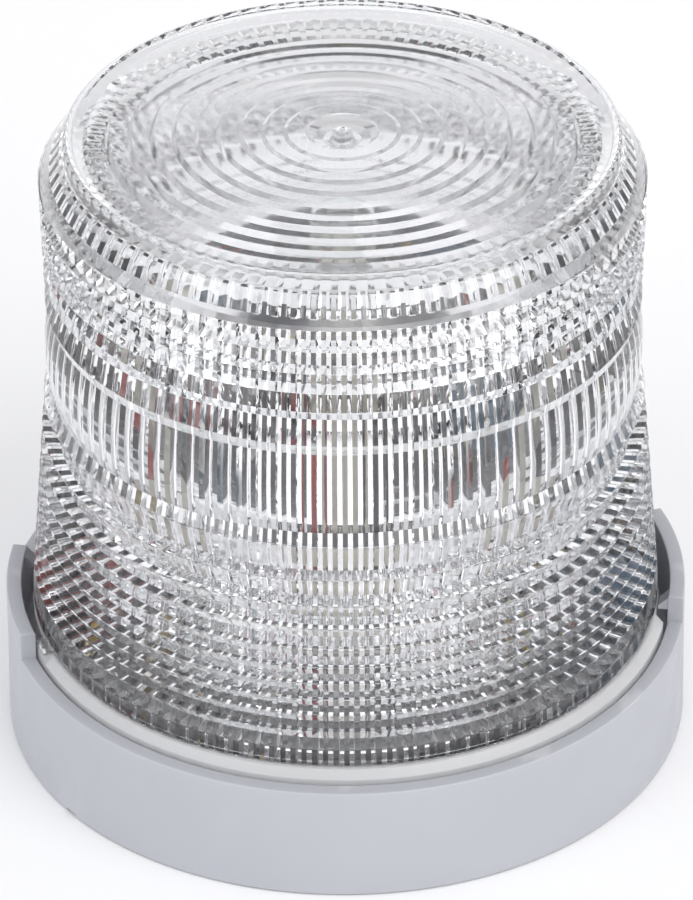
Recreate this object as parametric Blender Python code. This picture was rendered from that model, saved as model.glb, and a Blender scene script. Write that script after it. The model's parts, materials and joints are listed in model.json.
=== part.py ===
"""Horn strobe: a clear ribbed lens that twists into a round grey base, over a flash tube and a piezo horn.

Lengths are written in millimetres and multiplied by MM where a mesh is made. +Z is up, the origin is the
centre of the underside, and the terminal block faces -Y. Angles are in degrees, anticlockwise from +X.
"""

import math

import bmesh
import bpy
from mathutils import Matrix, Vector

MM = 0.001
CLEARANCE = 0.3

# Base housing
BASE_RADIUS = 66.5
BASE_RIM_RADIUS = 66.2
BASE_INNER_RADIUS = 58.6
WALL_CORE = (60.6, 63.8, 11.0)
RIM_INNER_RADIUS = 63.2
RIM_Z = 23.3
TAB_Z = 29.0
SEAT_Z = 15.5
FLOOR_Z = 3.0
BASE_SIDES = 90
TAB_START = -9.0
TAB_SEGMENTS = 7
HOOK_TIP_RADIUS = 61.3
HOOK_TIP_Z = 26.6
HOOK_ROOT_RADIUS = 64.4
HOOK_ANGLE = 3.0
HOOK_UNDERSIDE_Z = 25.9
MOUNT_HOLE_SPACING = 88.9
MOUNT_HOLE_RADIUS = 2.7
MOUNT_HOLE_ANGLE = 55.0
CABLE_HOLE_RADIUS = 11.1
SOUND_SLOT_ANGLE = 113.0
SOUND_SLOT_PITCH = 5.0
WEEP_SLOT_ANGLE = 217.0
FOAM_GROOVE = (48.0, 54.0, 1.5)

# Lens
TOP_Z = 128.1
DISC_RADIUS = 48.4
DISC_EDGE_Z = 126.9
CREST_RADIUS = 50.5
CREST_Z = 127.9
CAP_RADIUS = 52.3
CAP_EDGE_Z = 124.6
SHOULDER_RADIUS = 57.0
SHOULDER_Z = 119.0
WAIST_RADIUS = 56.3
WAIST_Z = 93.7
DRUM_FOOT_RADIUS = 56.8
DRUM_FOOT_Z = 73.5
SKIRT_TOP_RADIUS = 57.4
SKIRT_RADIUS = 60.9
SKIRT_Z = 26.8
FLANGE_RADIUS = 62.6
FLANGE_TOP_Z = 25.6
FLANGE_EDGE_Z = 24.2
FLANGE_FOOT_Z = 17.3
FLANGE_BORE_RADIUS = 57.8
LENS_WALL = 3.2
LENS_SIDES = 54
NOTCH_RADIUS = 61.0
NOTCH_ANGLES = (-10.5, 17.0)
LUG_ANGLES = (18.0, 22.5)
LUG_RADIUS = 62.8
LUG_Z = 26.7

# Circuit board and what stands on it
BOARD_RADIUS = 54.0
BOARD_Z = 12.0
BOARD_THICKNESS = 1.6
BOARD_SCREW_RADIUS = 47.0
BOARD_SCREW_ANGLES = (30.0, 150.0, 210.0, 330.0)
BOSS_RADIUS = 3.6
SCREW_HOLE_RADIUS = 1.7
ACCESS_HOLE_RADIUS = 5.5
DECK_Z = BOARD_Z + BOARD_THICKNESS + CLEARANCE
STORAGE_CAPACITOR_X = 38.0
STORAGE_CAPACITOR_RADIUS = 11.0
STORAGE_CAPACITOR_HALF_LENGTH = 18.0
TERMINAL_BLOCK_Y = -41.0
TERMINAL_PITCH = 6.2
TERMINAL_WAYS = 4
FUSE_HALF_LENGTH = 6.0
FUSE_CAP_LENGTH = 4.5

# Flash tube, upright on the axis
POST_TOP_Z = 62.0
TUBE_LEG_X = 5.5
TUBE_RADIUS = 2.6
TUBE_TOP_Z = 98.0
TRIGGER_WIRE_RADIUS = 0.4

# Horn, under the board behind the sound slots
HORN_CENTRE = (-14.0, 33.0)
HORN_RADIUS = 15.0
HORN_CUP_HEIGHT = 5.2
HORN_SHELF_HEIGHT = 3.0
PIEZO_RADIUS = 8.0
SOUND_HOLE_RADIUS = 2.5

# Rate selector
SELECTOR_CENTRE = (30.0, -33.0)


def clear_scene():
    for item in list(bpy.data.objects):
        bpy.data.objects.remove(item, do_unlink=True)


def make_material(name, colour, roughness, metallic=0.0, transmission=0.0):
    material = bpy.data.materials.new(name)
    material.use_nodes = True
    shader = material.node_tree.nodes["Principled BSDF"]
    shader.inputs["Base Color"].default_value = (*colour, 1.0)
    shader.inputs["Roughness"].default_value = roughness
    shader.inputs["Metallic"].default_value = metallic
    shader.inputs["Transmission Weight"].default_value = transmission
    return material


def place(name, mesh_data, material, smooth_angle=30.0):
    """Turn a bmesh drawn in millimetres into a named object in metres."""
    bmesh.ops.recalc_face_normals(mesh_data, faces=mesh_data.faces)
    bmesh.ops.scale(mesh_data, vec=(MM, MM, MM), verts=mesh_data.verts)
    mesh = bpy.data.meshes.new(name)
    mesh_data.to_mesh(mesh)
    mesh_data.free()
    if material:
        mesh.materials.append(material)
        mesh.shade_smooth()
        mesh.set_sharp_from_angle(angle=math.radians(smooth_angle))
    made = bpy.data.objects.new(name, mesh)
    bpy.context.scene.collection.objects.link(made)
    return made


def set_origin(piece, point):
    """Move the origin to a point given in millimetres, and leave the mesh where it is."""
    offset = Vector(point) * MM
    piece.data.transform(Matrix.Translation(-offset))
    piece.location = offset
    return piece


def combine(target, helper_mesh, operation):
    """Join a hidden helper shape to the target, or cut it out."""
    helper = place(f"{target.name}_{operation.lower()}_{len(target.modifiers)}", helper_mesh, None)
    helper.hide_render = True
    helper.display_type = "WIRE"
    modifier = target.modifiers.new(operation.title(), "BOOLEAN")
    modifier.operation = operation
    modifier.object = helper
    modifier.solver = "EXACT"


def polar(radius, angle, z=0.0):
    turn = math.radians(angle)
    return Vector((radius * math.cos(turn), radius * math.sin(turn), z))


def turned(outline, sides, start=0.0, centre=(0.0, 0.0), into=None):
    """Turn a closed outline of (radius, z) points about a vertical axis."""
    mesh = into or bmesh.new()
    rings = []
    for radius, z in outline:
        if radius < 1e-6:
            rings.append([mesh.verts.new((centre[0], centre[1], z))])
            continue
        points = (polar(radius, start + 360.0 * k / sides, z) for k in range(sides))
        rings.append([mesh.verts.new((p.x + centre[0], p.y + centre[1], p.z)) for p in points])
    for first, second in zip(rings, rings[1:] + rings[:1]):
        for k in range(sides):
            after = (k + 1) % sides
            corners = [first[k % len(first)], first[after % len(first)]]
            corners += [second[after % len(second)], second[k % len(second)]]
            unique = list(dict.fromkeys(corners))
            if len(unique) > 2:
                mesh.faces.new(unique)
    return mesh


def sector(inner, outer, low, high, start, end, steps, into=None):
    """A ring segment with a rectangular section."""
    mesh = into or bmesh.new()
    stations = []
    for k in range(steps + 1):
        angle = start + (end - start) * k / steps
        corners = ((inner, low), (outer, low), (outer, high), (inner, high))
        stations.append([mesh.verts.new(polar(radius, angle, z)) for radius, z in corners])
    for here, there in zip(stations, stations[1:]):
        for k in range(4):
            mesh.faces.new((here[k], here[(k + 1) % 4], there[(k + 1) % 4], there[k]))
    mesh.faces.new(stations[0])
    mesh.faces.new(stations[-1][::-1])
    return mesh


def block(size, centre, angle=0.0, bevel=0.0, into=None):
    """A box with its edges rounded off, turned about the vertical axis."""
    mesh = into or bmesh.new()
    frame = Matrix.Translation(centre) @ Matrix.Rotation(math.radians(angle), 4, "Z")
    frame = frame @ Matrix.Diagonal((*size, 1.0))
    made = bmesh.ops.create_cube(mesh, size=1.0, matrix=frame)
    if bevel:
        edges = list({edge for vert in made["verts"] for edge in vert.link_edges})
        bmesh.ops.bevel(mesh, geom=edges, offset=bevel, segments=1, affect="EDGES")
    return mesh


def rod(radius, start, end, sides=16, into=None):
    """A straight round bar between two points."""
    mesh = into or bmesh.new()
    axis = Vector(end) - Vector(start)
    frame = Matrix.Translation((Vector(start) + Vector(end)) / 2)
    frame = frame @ axis.to_track_quat("Z", "Y").to_matrix().to_4x4()
    bmesh.ops.create_cone(
        mesh,
        cap_ends=True,
        segments=sides,
        radius1=radius,
        radius2=radius,
        depth=axis.length,
        matrix=frame,
    )
    return mesh


def tube_along(name, points, radius, material, resolution=2):
    """A round wire or tube with filled ends that follows points given in millimetres."""
    curve = bpy.data.curves.new(name, "CURVE")
    curve.dimensions = "3D"
    curve.bevel_depth = radius * MM
    curve.bevel_resolution = resolution
    curve.use_fill_caps = True
    spline = curve.splines.new("POLY")
    spline.points.add(len(points) - 1)
    for slot, point in zip(spline.points, points):
        slot.co = (*(Vector(point) * MM), 1.0)
    curve.materials.append(material)
    made = bpy.data.objects.new(name, curve)
    bpy.context.scene.collection.objects.link(made)
    return made


def smooth_route(knots, steps):
    """Points on a smooth curve through the knots (Catmull-Rom)."""
    knots = [Vector(knot) for knot in knots]
    padded = [2 * knots[0] - knots[1]] + knots + [2 * knots[-1] - knots[-2]]
    route = []
    for a, b, c, d in zip(padded, padded[1:], padded[2:], padded[3:]):
        for k in range(steps):
            t = k / steps
            bend = (2 * a - 5 * b + 4 * c - d) * t * t + (3 * b - a - 3 * c + d) * t**3
            route.append(0.5 * (2 * b + (c - a) * t + bend))
    route.append(knots[-1])
    return route


# Base ---------------------------------------------------------------------------------------------


def base_outline():
    groove_in, groove_out, groove_depth = FOAM_GROOVE
    core_in, core_out, core_depth = WALL_CORE
    return [
        (0.0, 0.0),
        (groove_in, 0.0),
        (groove_in, groove_depth),
        (groove_out, groove_depth),
        (groove_out, 0.0),
        (core_in, 0.0),
        (core_in, core_depth),
        (core_out, core_depth),
        (core_out, 0.0),
        (BASE_RADIUS - 0.5, 0.0),
        (BASE_RADIUS, 0.5),
        (BASE_RIM_RADIUS, RIM_Z),
        (RIM_INNER_RADIUS, RIM_Z),
        (RIM_INNER_RADIUS, SEAT_Z),
        (BASE_INNER_RADIUS, SEAT_Z),
        (BASE_INNER_RADIUS, FLOOR_Z + 1.5),
        (BASE_INNER_RADIUS - 1.5, FLOOR_Z),
        (0.0, FLOOR_Z),
    ]


def raise_tabs(mesh):
    """Draw the two guard tabs up out of the flat rim, half a turn apart."""
    step = 360.0 / BASE_SIDES
    for turn in (0.0, 180.0):
        first = TAB_START + turn
        chosen = []
        for face in mesh.faces:
            middle = face.calc_center_median()
            radius = math.hypot(middle.x, middle.y)
            on_rim = abs(middle.z - RIM_Z) < 1e-4 and RIM_INNER_RADIUS < radius < BASE_RIM_RADIUS
            angle = (math.degrees(math.atan2(middle.y, middle.x)) - first) % 360.0
            if on_rim and angle < TAB_SEGMENTS * step:
                chosen.append(face)
        raised = bmesh.ops.extrude_face_region(mesh, geom=chosen)
        lifted = [item for item in raised["geom"] if isinstance(item, bmesh.types.BMVert)]
        bmesh.ops.translate(mesh, vec=(0.0, 0.0, TAB_Z - RIM_Z), verts=lifted)
        bmesh.ops.delete(mesh, geom=chosen, context="FACES")


def twist_hooks():
    """A gusset at one end of each tab, sloping in to a tip that the lens's flange turns under."""
    mesh = bmesh.new()
    section = [
        (HOOK_ROOT_RADIUS, HOOK_UNDERSIDE_Z),
        (HOOK_ROOT_RADIUS, TAB_Z - 0.1),
        (RIM_INNER_RADIUS + 0.2, TAB_Z - 0.1),
        (HOOK_TIP_RADIUS, HOOK_TIP_Z),
        (HOOK_TIP_RADIUS, HOOK_UNDERSIDE_Z),
    ]
    for turn in (0.0, 180.0):
        start = TAB_START + turn + 0.15
        ends = []
        for angle in (start, start + HOOK_ANGLE):
            ends.append([mesh.verts.new(polar(radius, angle, z)) for radius, z in section])
        mesh.faces.new(ends[0])
        mesh.faces.new(ends[1][::-1])
        for k in range(len(section)):
            after = (k + 1) % len(section)
            mesh.faces.new((ends[0][k], ends[0][after], ends[1][after], ends[1][k]))
    return mesh


def board_bosses():
    mesh = bmesh.new()
    for angle in BOARD_SCREW_ANGLES:
        foot = polar(BOARD_SCREW_RADIUS, angle, FLOOR_Z - 1.0)
        rod(BOSS_RADIUS, foot, foot + Vector((0, 0, BOARD_Z - CLEARANCE - foot.z)), 20, mesh)
    return mesh


def base_holes():
    mesh = bmesh.new()
    for angle in BOARD_SCREW_ANGLES:
        foot = polar(BOARD_SCREW_RADIUS, angle, FLOOR_Z + 1.0)
        rod(SCREW_HOLE_RADIUS, foot, foot + Vector((0, 0, BOARD_Z)), 12, mesh)
    for angle in (MOUNT_HOLE_ANGLE, MOUNT_HOLE_ANGLE + 180.0):
        foot = polar(MOUNT_HOLE_SPACING / 2, angle, -1.0)
        rod(MOUNT_HOLE_RADIUS, foot, foot + Vector((0, 0, FLOOR_Z + 2.0)), 16, mesh)
    rod(CABLE_HOLE_RADIUS, (0, 0, -1.0), (0, 0, FLOOR_Z + 1.0), 32, mesh)
    return mesh


def wall_slots():
    """Five upright sound slots behind the horn, and one weep slot at the foot of the wall."""
    mesh = bmesh.new()
    middle = (BASE_RADIUS + BASE_INNER_RADIUS) / 2
    for k in range(-2, 3):
        angle = SOUND_SLOT_ANGLE + k * SOUND_SLOT_PITCH
        block((12.0, 2.2, 6.0), polar(middle, angle, 8.5), angle, into=mesh)
    block((4.0, 3.0, 1.6), polar(BASE_RADIUS, WEEP_SLOT_ANGLE), WEEP_SLOT_ANGLE, into=mesh)
    return mesh


def make_base_housing(plastic):
    mesh = turned(base_outline(), BASE_SIDES, TAB_START)
    bmesh.ops.recalc_face_normals(mesh, faces=mesh.faces)
    raise_tabs(mesh)
    base = place("base_housing", mesh, plastic)
    combine(base, twist_hooks(), "UNION")
    combine(base, board_bosses(), "UNION")
    combine(base, base_holes(), "DIFFERENCE")
    combine(base, wall_slots(), "DIFFERENCE")
    return base


def make_mounting_gasket(foam):
    groove_in, groove_out, groove_depth = FOAM_GROOVE
    inner = groove_in + CLEARANCE
    outer = groove_out - CLEARANCE
    top = groove_depth - CLEARANCE
    place("mounting_gasket", turned([(inner, 0), (outer, 0), (outer, top), (inner, top)], 60), foam)


def make_cable_grommet(rubber):
    outline = [
        (4.5, 0.4),
        (CABLE_HOLE_RADIUS - CLEARANCE, 0.4),
        (CABLE_HOLE_RADIUS - CLEARANCE, FLOOR_Z + CLEARANCE),
        (13.2, FLOOR_Z + CLEARANCE),
        (12.6, 5.6),
        (5.3, 5.6),
        (4.5, 4.8),
    ]
    place("cable_grommet", turned(outline, 32), rubber)


# Lens ---------------------------------------------------------------------------------------------


def lens_outline():
    """Outer face from the flange up to the crown, then back down the inner face."""
    flange_drop = FLANGE_TOP_Z - FLANGE_EDGE_Z
    flange_run = FLANGE_RADIUS - NOTCH_RADIUS
    rounded = []
    for k in range(5):
        turn = math.radians(90.0 * k / 4)
        run = flange_run * math.cos(turn)
        rounded.append((NOTCH_RADIUS + run, FLANGE_EDGE_Z + flange_drop * math.sin(turn)))
    dome_rise = TOP_Z - DISC_EDGE_Z
    outer_dome = [(r, TOP_Z - dome_rise * (r / DISC_RADIUS) ** 2) for r in (36.0, 18.0, 0.0)]
    inner_dome = [(r, z - LENS_WALL) for r, z in reversed(outer_dome)]
    return [
        (FLANGE_BORE_RADIUS, FLANGE_FOOT_Z),
        (FLANGE_RADIUS, FLANGE_FOOT_Z),
        *rounded,
        (SKIRT_RADIUS, SKIRT_Z),
        (SKIRT_TOP_RADIUS, DRUM_FOOT_Z - 0.8),
        (DRUM_FOOT_RADIUS, DRUM_FOOT_Z),
        (WAIST_RADIUS, WAIST_Z),
        (SHOULDER_RADIUS, SHOULDER_Z),
        (CAP_RADIUS, CAP_EDGE_Z),
        (CREST_RADIUS, CREST_Z),
        (DISC_RADIUS, DISC_EDGE_Z),
        *outer_dome,
        *inner_dome,
        (DISC_RADIUS, CAP_EDGE_Z - LENS_WALL),
        (SHOULDER_RADIUS - LENS_WALL, SHOULDER_Z - LENS_WALL),
        (WAIST_RADIUS - LENS_WALL, WAIST_Z),
        (DRUM_FOOT_RADIUS - LENS_WALL, DRUM_FOOT_Z),
        (FLANGE_BORE_RADIUS - 0.2, SKIRT_Z),
    ]


def lens_lugs():
    mesh = bmesh.new()
    for turn in (0.0, 180.0):
        start, end = (angle + turn for angle in LUG_ANGLES)
        sector(60.0, LUG_RADIUS, FLANGE_FOOT_Z + 2.0, LUG_Z, start, end, 2, mesh)
    return mesh


def lens_notches():
    mesh = bmesh.new()
    for turn in (0.0, 180.0):
        start, end = (angle + turn for angle in NOTCH_ANGLES)
        sector(NOTCH_RADIUS, 65.0, FLANGE_FOOT_Z - 2.0, SKIRT_Z + 2.0, start, end, 10, mesh)
    return mesh


def make_lens(polycarbonate):
    lens = place("lens", turned(lens_outline(), LENS_SIDES), polycarbonate)
    combine(lens, lens_lugs(), "UNION")
    combine(lens, lens_notches(), "DIFFERENCE")
    return lens


def make_lens_gasket(silicone):
    low = SEAT_Z + CLEARANCE
    high = FLANGE_FOOT_Z - CLEARANCE
    inner = BASE_INNER_RADIUS + 0.3
    outer = NOTCH_RADIUS - 0.1
    outline = [(inner, low), (outer, low), (outer, high), (inner, high)]
    return place("lens_gasket", turned(outline, 60), silicone)


# Circuit board ------------------------------------------------------------------------------------


def make_circuit_board(laminate):
    top = BOARD_Z + BOARD_THICKNESS
    outline = [(0.0, BOARD_Z), (BOARD_RADIUS, BOARD_Z), (BOARD_RADIUS, top), (0.0, top)]
    board = place("circuit_board", turned(outline, 60), laminate)
    holes = bmesh.new()
    for angle in BOARD_SCREW_ANGLES:
        foot = polar(BOARD_SCREW_RADIUS, angle, BOARD_Z - 2.0)
        rod(SCREW_HOLE_RADIUS, foot, foot + Vector((0, 0, 6.0)), 12, holes)
    for angle in (MOUNT_HOLE_ANGLE, MOUNT_HOLE_ANGLE + 180.0):
        foot = polar(MOUNT_HOLE_SPACING / 2, angle, BOARD_Z - 2.0)
        rod(ACCESS_HOLE_RADIUS, foot, foot + Vector((0, 0, 6.0)), 20, holes)
    combine(board, holes, "DIFFERENCE")
    return board


def make_board_screws(steel):
    outline = [
        (0.0, FLOOR_Z + 2.0),
        (1.35, FLOOR_Z + 2.0),
        (1.35, DECK_Z),
        (3.0, DECK_Z),
        (3.0, DECK_Z + 1.0),
        (2.0, DECK_Z + 2.0),
        (0.0, DECK_Z + 2.0),
    ]
    for number, angle in enumerate(BOARD_SCREW_ANGLES, 1):
        place_at = polar(BOARD_SCREW_RADIUS, angle)
        screw = place(f"board_screw_{number}", turned(outline, 12, centre=place_at.xy), steel)
        slot_at = (place_at.x, place_at.y, DECK_Z + 2.0)
        combine(screw, block((5.0, 0.8, 1.6), slot_at, angle + 35.0 * number), "DIFFERENCE")


def make_storage_capacitor(sleeve):
    """Electrolytic can lying along Y, with the crimped groove near its rubber end."""
    radius = STORAGE_CAPACITOR_RADIUS
    half = STORAGE_CAPACITOR_HALF_LENGTH
    centre = Vector((STORAGE_CAPACITOR_X, 2.0, DECK_Z + radius))
    groove = 5.0 - half
    outline = [(0.0, -half), (radius - 1.0, -half), (radius, 1.0 - half), (radius, groove - 0.8)]
    outline += [(radius - 0.9, groove), (radius, groove + 0.8)]
    outline += [(radius, half - 0.8), (radius - 0.8, half), (0.0, half)]
    mesh = turned(outline, 28)
    bmesh.ops.rotate(mesh, matrix=Matrix.Rotation(math.radians(90.0), 3, "X"), verts=mesh.verts)
    bmesh.ops.translate(mesh, vec=centre, verts=mesh.verts)
    place("storage_capacitor", mesh, sleeve)


def make_block_part(name, size, centre, material, angle=0.0, bevel=0.6):
    """A rounded block standing on the board; centre is given as (x, y)."""
    middle = (centre[0], centre[1], DECK_Z + size[2] / 2)
    return place(name, block(size, middle, angle, bevel), material)


def make_inverter_transformer(ferrite, tape):
    """A ferrite frame round a taped winding: the winding fills the frame's window."""
    centre = Vector((15.0, -25.0, DECK_Z + 8.0))
    core = place("transformer_core", block((19.0, 8.0, 16.0), centre, 0.0, 0.4), ferrite)
    combine(core, block((13.0, 12.0, 10.0), centre), "DIFFERENCE")
    winding = block((13.0 - 2 * CLEARANCE, 13.0, 10.0 - 2 * CLEARANCE), centre, 0.0, 1.2)
    place("transformer_winding", winding, tape)


def make_heat_sink(aluminium, epoxy):
    """Finned extrusion with its transistor clipped to the flat side."""
    centre = Vector((6.0, 33.0, DECK_Z + 10.0))
    sink = place("heat_sink", block((24.0, 10.0, 20.0), centre), aluminium)
    gaps = bmesh.new()
    for k in range(4):
        offset = Vector((-9.0 + 6.0 * k, 2.5, 0.0))
        block((3.6, 10.0, 24.0), centre + offset, into=gaps)
    combine(sink, gaps, "DIFFERENCE")
    transistor = centre + Vector((0.0, -5.0 - CLEARANCE - 2.2, -1.0))
    place("power_transistor", block((10.0, 4.4, 15.0), transistor, 0.0, 0.5), epoxy)


def make_terminal_block(moulding, plated):
    """Four-way block with a screw in each well and wire ports towards the rim."""
    centre = Vector((0.0, TERMINAL_BLOCK_Y, DECK_Z + 6.0))
    body = place("terminal_block", block((26.0, 9.0, 12.0), centre, 0.0, 0.5), moulding)
    wells = bmesh.new()
    ports = bmesh.new()
    for k in range(TERMINAL_WAYS):
        x = TERMINAL_PITCH * (k - (TERMINAL_WAYS - 1) / 2)
        top = centre + Vector((x, 0.6, 6.0))
        rod(2.4, top - Vector((0, 0, 5.0)), top + Vector((0, 0, 2.0)), 14, wells)
        block((4.2, 4.0, 4.0), centre + Vector((x, -4.4, -2.6)), into=ports)
        outline = [(0.0, 8.0), (1.9, 8.0), (1.9, 10.2), (0.0, 10.2)]
        outline = [(radius, z + DECK_Z) for radius, z in outline]
        screw = place(f"terminal_screw_{k + 1}", turned(outline, 14, centre=top.xy), plated)
        slot_at = (top.x, top.y, DECK_Z + 10.2)
        combine(screw, block((5.0, 0.7, 1.4), slot_at, 25.0 + 40.0 * k), "DIFFERENCE")
    combine(body, wells, "DIFFERENCE")
    combine(body, ports, "DIFFERENCE")


def make_rectifier(epoxy):
    foot = Vector((-30.0, 31.0, DECK_Z + 2.6))
    place("rectifier_diode", rod(2.5, foot, foot + Vector((9.0, 4.0, 0.0)), 16), epoxy)


def make_fuse(glass, plated):
    """Glass fuse lying in two end caps."""
    centre = Vector((-31.0, -21.0, DECK_Z + 3.2))
    along = polar(1.0, -45.0)
    half = FUSE_HALF_LENGTH
    place("fuse_tube", rod(2.2, centre - along * half, centre + along * half, 16), glass)
    for number, sign in enumerate((-1.0, 1.0), 1):
        inner = centre + along * sign * (half + CLEARANCE)
        outer = inner + along * sign * FUSE_CAP_LENGTH
        place(f"fuse_cap_{number}", rod(2.7, inner, outer, 16), plated)


# Flash tube ---------------------------------------------------------------------------------------


def make_tube_post(ceramic):
    """Stepped column that carries the flash tube at the lens's focus."""
    post = place("tube_post", block((22.0, 15.0, 10.0), (0, 0, DECK_Z + 5.0), 0.0, 1.0), ceramic)
    column_height = POST_TOP_Z - DECK_Z - 5.0
    combine(post, block((7.0, 5.6, column_height), (0, 0, POST_TOP_Z - column_height / 2)), "UNION")
    cap = turned([(0.0, POST_TOP_Z - 5.0), (9.4, POST_TOP_Z - 5.0), (9.4, POST_TOP_Z), (0.0, POST_TOP_Z)], 24)
    combine(post, cap, "UNION")
    holes = bmesh.new()
    for side in (-1.0, 1.0):
        hole = Vector((side * TUBE_LEG_X, 0.0, POST_TOP_Z))
        rod(2.3, hole - Vector((0, 0, 8.0)), hole + Vector((0, 0, 2.0)), 12, holes)
    combine(post, holes, "DIFFERENCE")


def tube_route():
    """Up one leg, over the bend and down the other."""
    foot = POST_TOP_Z + CLEARANCE
    bend_z = TUBE_TOP_Z - TUBE_LEG_X - TUBE_RADIUS
    route = [(-TUBE_LEG_X, 0.0, foot), (-TUBE_LEG_X, 0.0, foot + 6.0)]
    for k in range(13):
        turn = math.radians(180.0 - 180.0 * k / 12)
        route.append((TUBE_LEG_X * math.cos(turn), 0.0, bend_z + TUBE_LEG_X * math.sin(turn)))
    route += [(TUBE_LEG_X, 0.0, foot + 6.0), (TUBE_LEG_X, 0.0, foot)]
    return route


def make_trigger_wire(nickel):
    """Wire wound in open turns round both legs of the tube."""
    low = POST_TOP_Z + 4.0
    turns = 5
    pitch = 4.2
    across = TUBE_LEG_X + TUBE_RADIUS + CLEARANCE + TRIGGER_WIRE_RADIUS
    deep = TUBE_RADIUS + CLEARANCE + TRIGGER_WIRE_RADIUS
    points = []
    for k in range(turns * 14 + 1):
        turn = 2 * math.pi * k / 14
        x = across * math.cos(turn)
        y = deep * math.copysign(min(1.0, abs(1.6 * math.sin(turn))), math.sin(turn))
        points.append((x, y, low + pitch * k / 14))
    tube_along("trigger_wire", points, TRIGGER_WIRE_RADIUS, nickel, 0)


def make_tube_leads(red, black):
    """Sleeved leads from the board up the post into the two electrodes."""
    for name, side, sleeve in (("tube_lead_red", -1.0, red), ("tube_lead_black", 1.0, black)):
        knots = [
            (side * 15.5, 3.0, DECK_Z),
            (side * 15.2, 2.6, DECK_Z + 9.0),
            (side * 9.0, 1.0, DECK_Z + 22.0),
            (side * 6.2, 0.0, POST_TOP_Z - 16.0),
            (side * TUBE_LEG_X, 0.0, POST_TOP_Z - 8.0),
            (side * TUBE_LEG_X, 0.0, POST_TOP_Z - 1.0),
        ]
        tube_along(name, smooth_route(knots, 3), 1.5, sleeve, 1)


# Horn ---------------------------------------------------------------------------------------------


def make_horn(black, brass, ceramic):
    """Piezo sounder: an open cup, a cap with a sound hole, and the disc held between them."""
    low = FLOOR_Z + CLEARANCE
    cup = [
        (0.0, low),
        (HORN_RADIUS, low),
        (HORN_RADIUS, low + HORN_CUP_HEIGHT),
        (HORN_RADIUS - 1.3, low + HORN_CUP_HEIGHT),
        (HORN_RADIUS - 1.3, low + HORN_SHELF_HEIGHT),
        (HORN_RADIUS - 2.3, low + HORN_SHELF_HEIGHT),
        (HORN_RADIUS - 2.3, low + 1.2),
        (0.0, low + 1.2),
    ]
    place("horn_cup", turned(cup, 36, centre=HORN_CENTRE), black)
    disc = low + HORN_SHELF_HEIGHT + CLEARANCE
    plate = [(0.0, disc), (HORN_RADIUS - 1.7, disc), (HORN_RADIUS - 1.7, disc + 0.3), (0.0, disc + 0.3)]
    place("horn_diaphragm", turned(plate, 36, centre=HORN_CENTRE), brass)
    wafer = disc + 0.3 + 0.2
    chip = [(0.0, wafer), (PIEZO_RADIUS, wafer), (PIEZO_RADIUS, wafer + 0.4), (0.0, wafer + 0.4)]
    place("horn_piezo_element", turned(chip, 28, centre=HORN_CENTRE), ceramic)
    top = low + HORN_CUP_HEIGHT + CLEARANCE
    cap = [
        (SOUND_HOLE_RADIUS, top),
        (HORN_RADIUS, top),
        (HORN_RADIUS, top + 1.2),
        (4.2, top + 1.2),
        (4.2, top + 2.0),
        (SOUND_HOLE_RADIUS, top + 2.0),
    ]
    place("horn_cap", turned(cap, 36, centre=HORN_CENTRE), black)


# Rate selector ------------------------------------------------------------------------------------


def make_selector(black, white):
    """Slide switch with three positions, 2 mm apart, along X."""
    centre = Vector((*SELECTOR_CENTRE, DECK_Z + 2.5))
    body = place("selector_switch", block((14.0, 6.5, 5.0), centre, 0.0, 0.3), black)
    combine(body, block((8.2, 3.2, 5.0), centre + Vector((0, 0, 3.5))), "DIFFERENCE")
    knob_middle = centre + Vector((0, 0, 3.0))
    knob = place("selector_knob", block((3.4, 2.5, 3.0), knob_middle, 0.0, 0.25), white)
    set_origin(knob, knob_middle)


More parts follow.
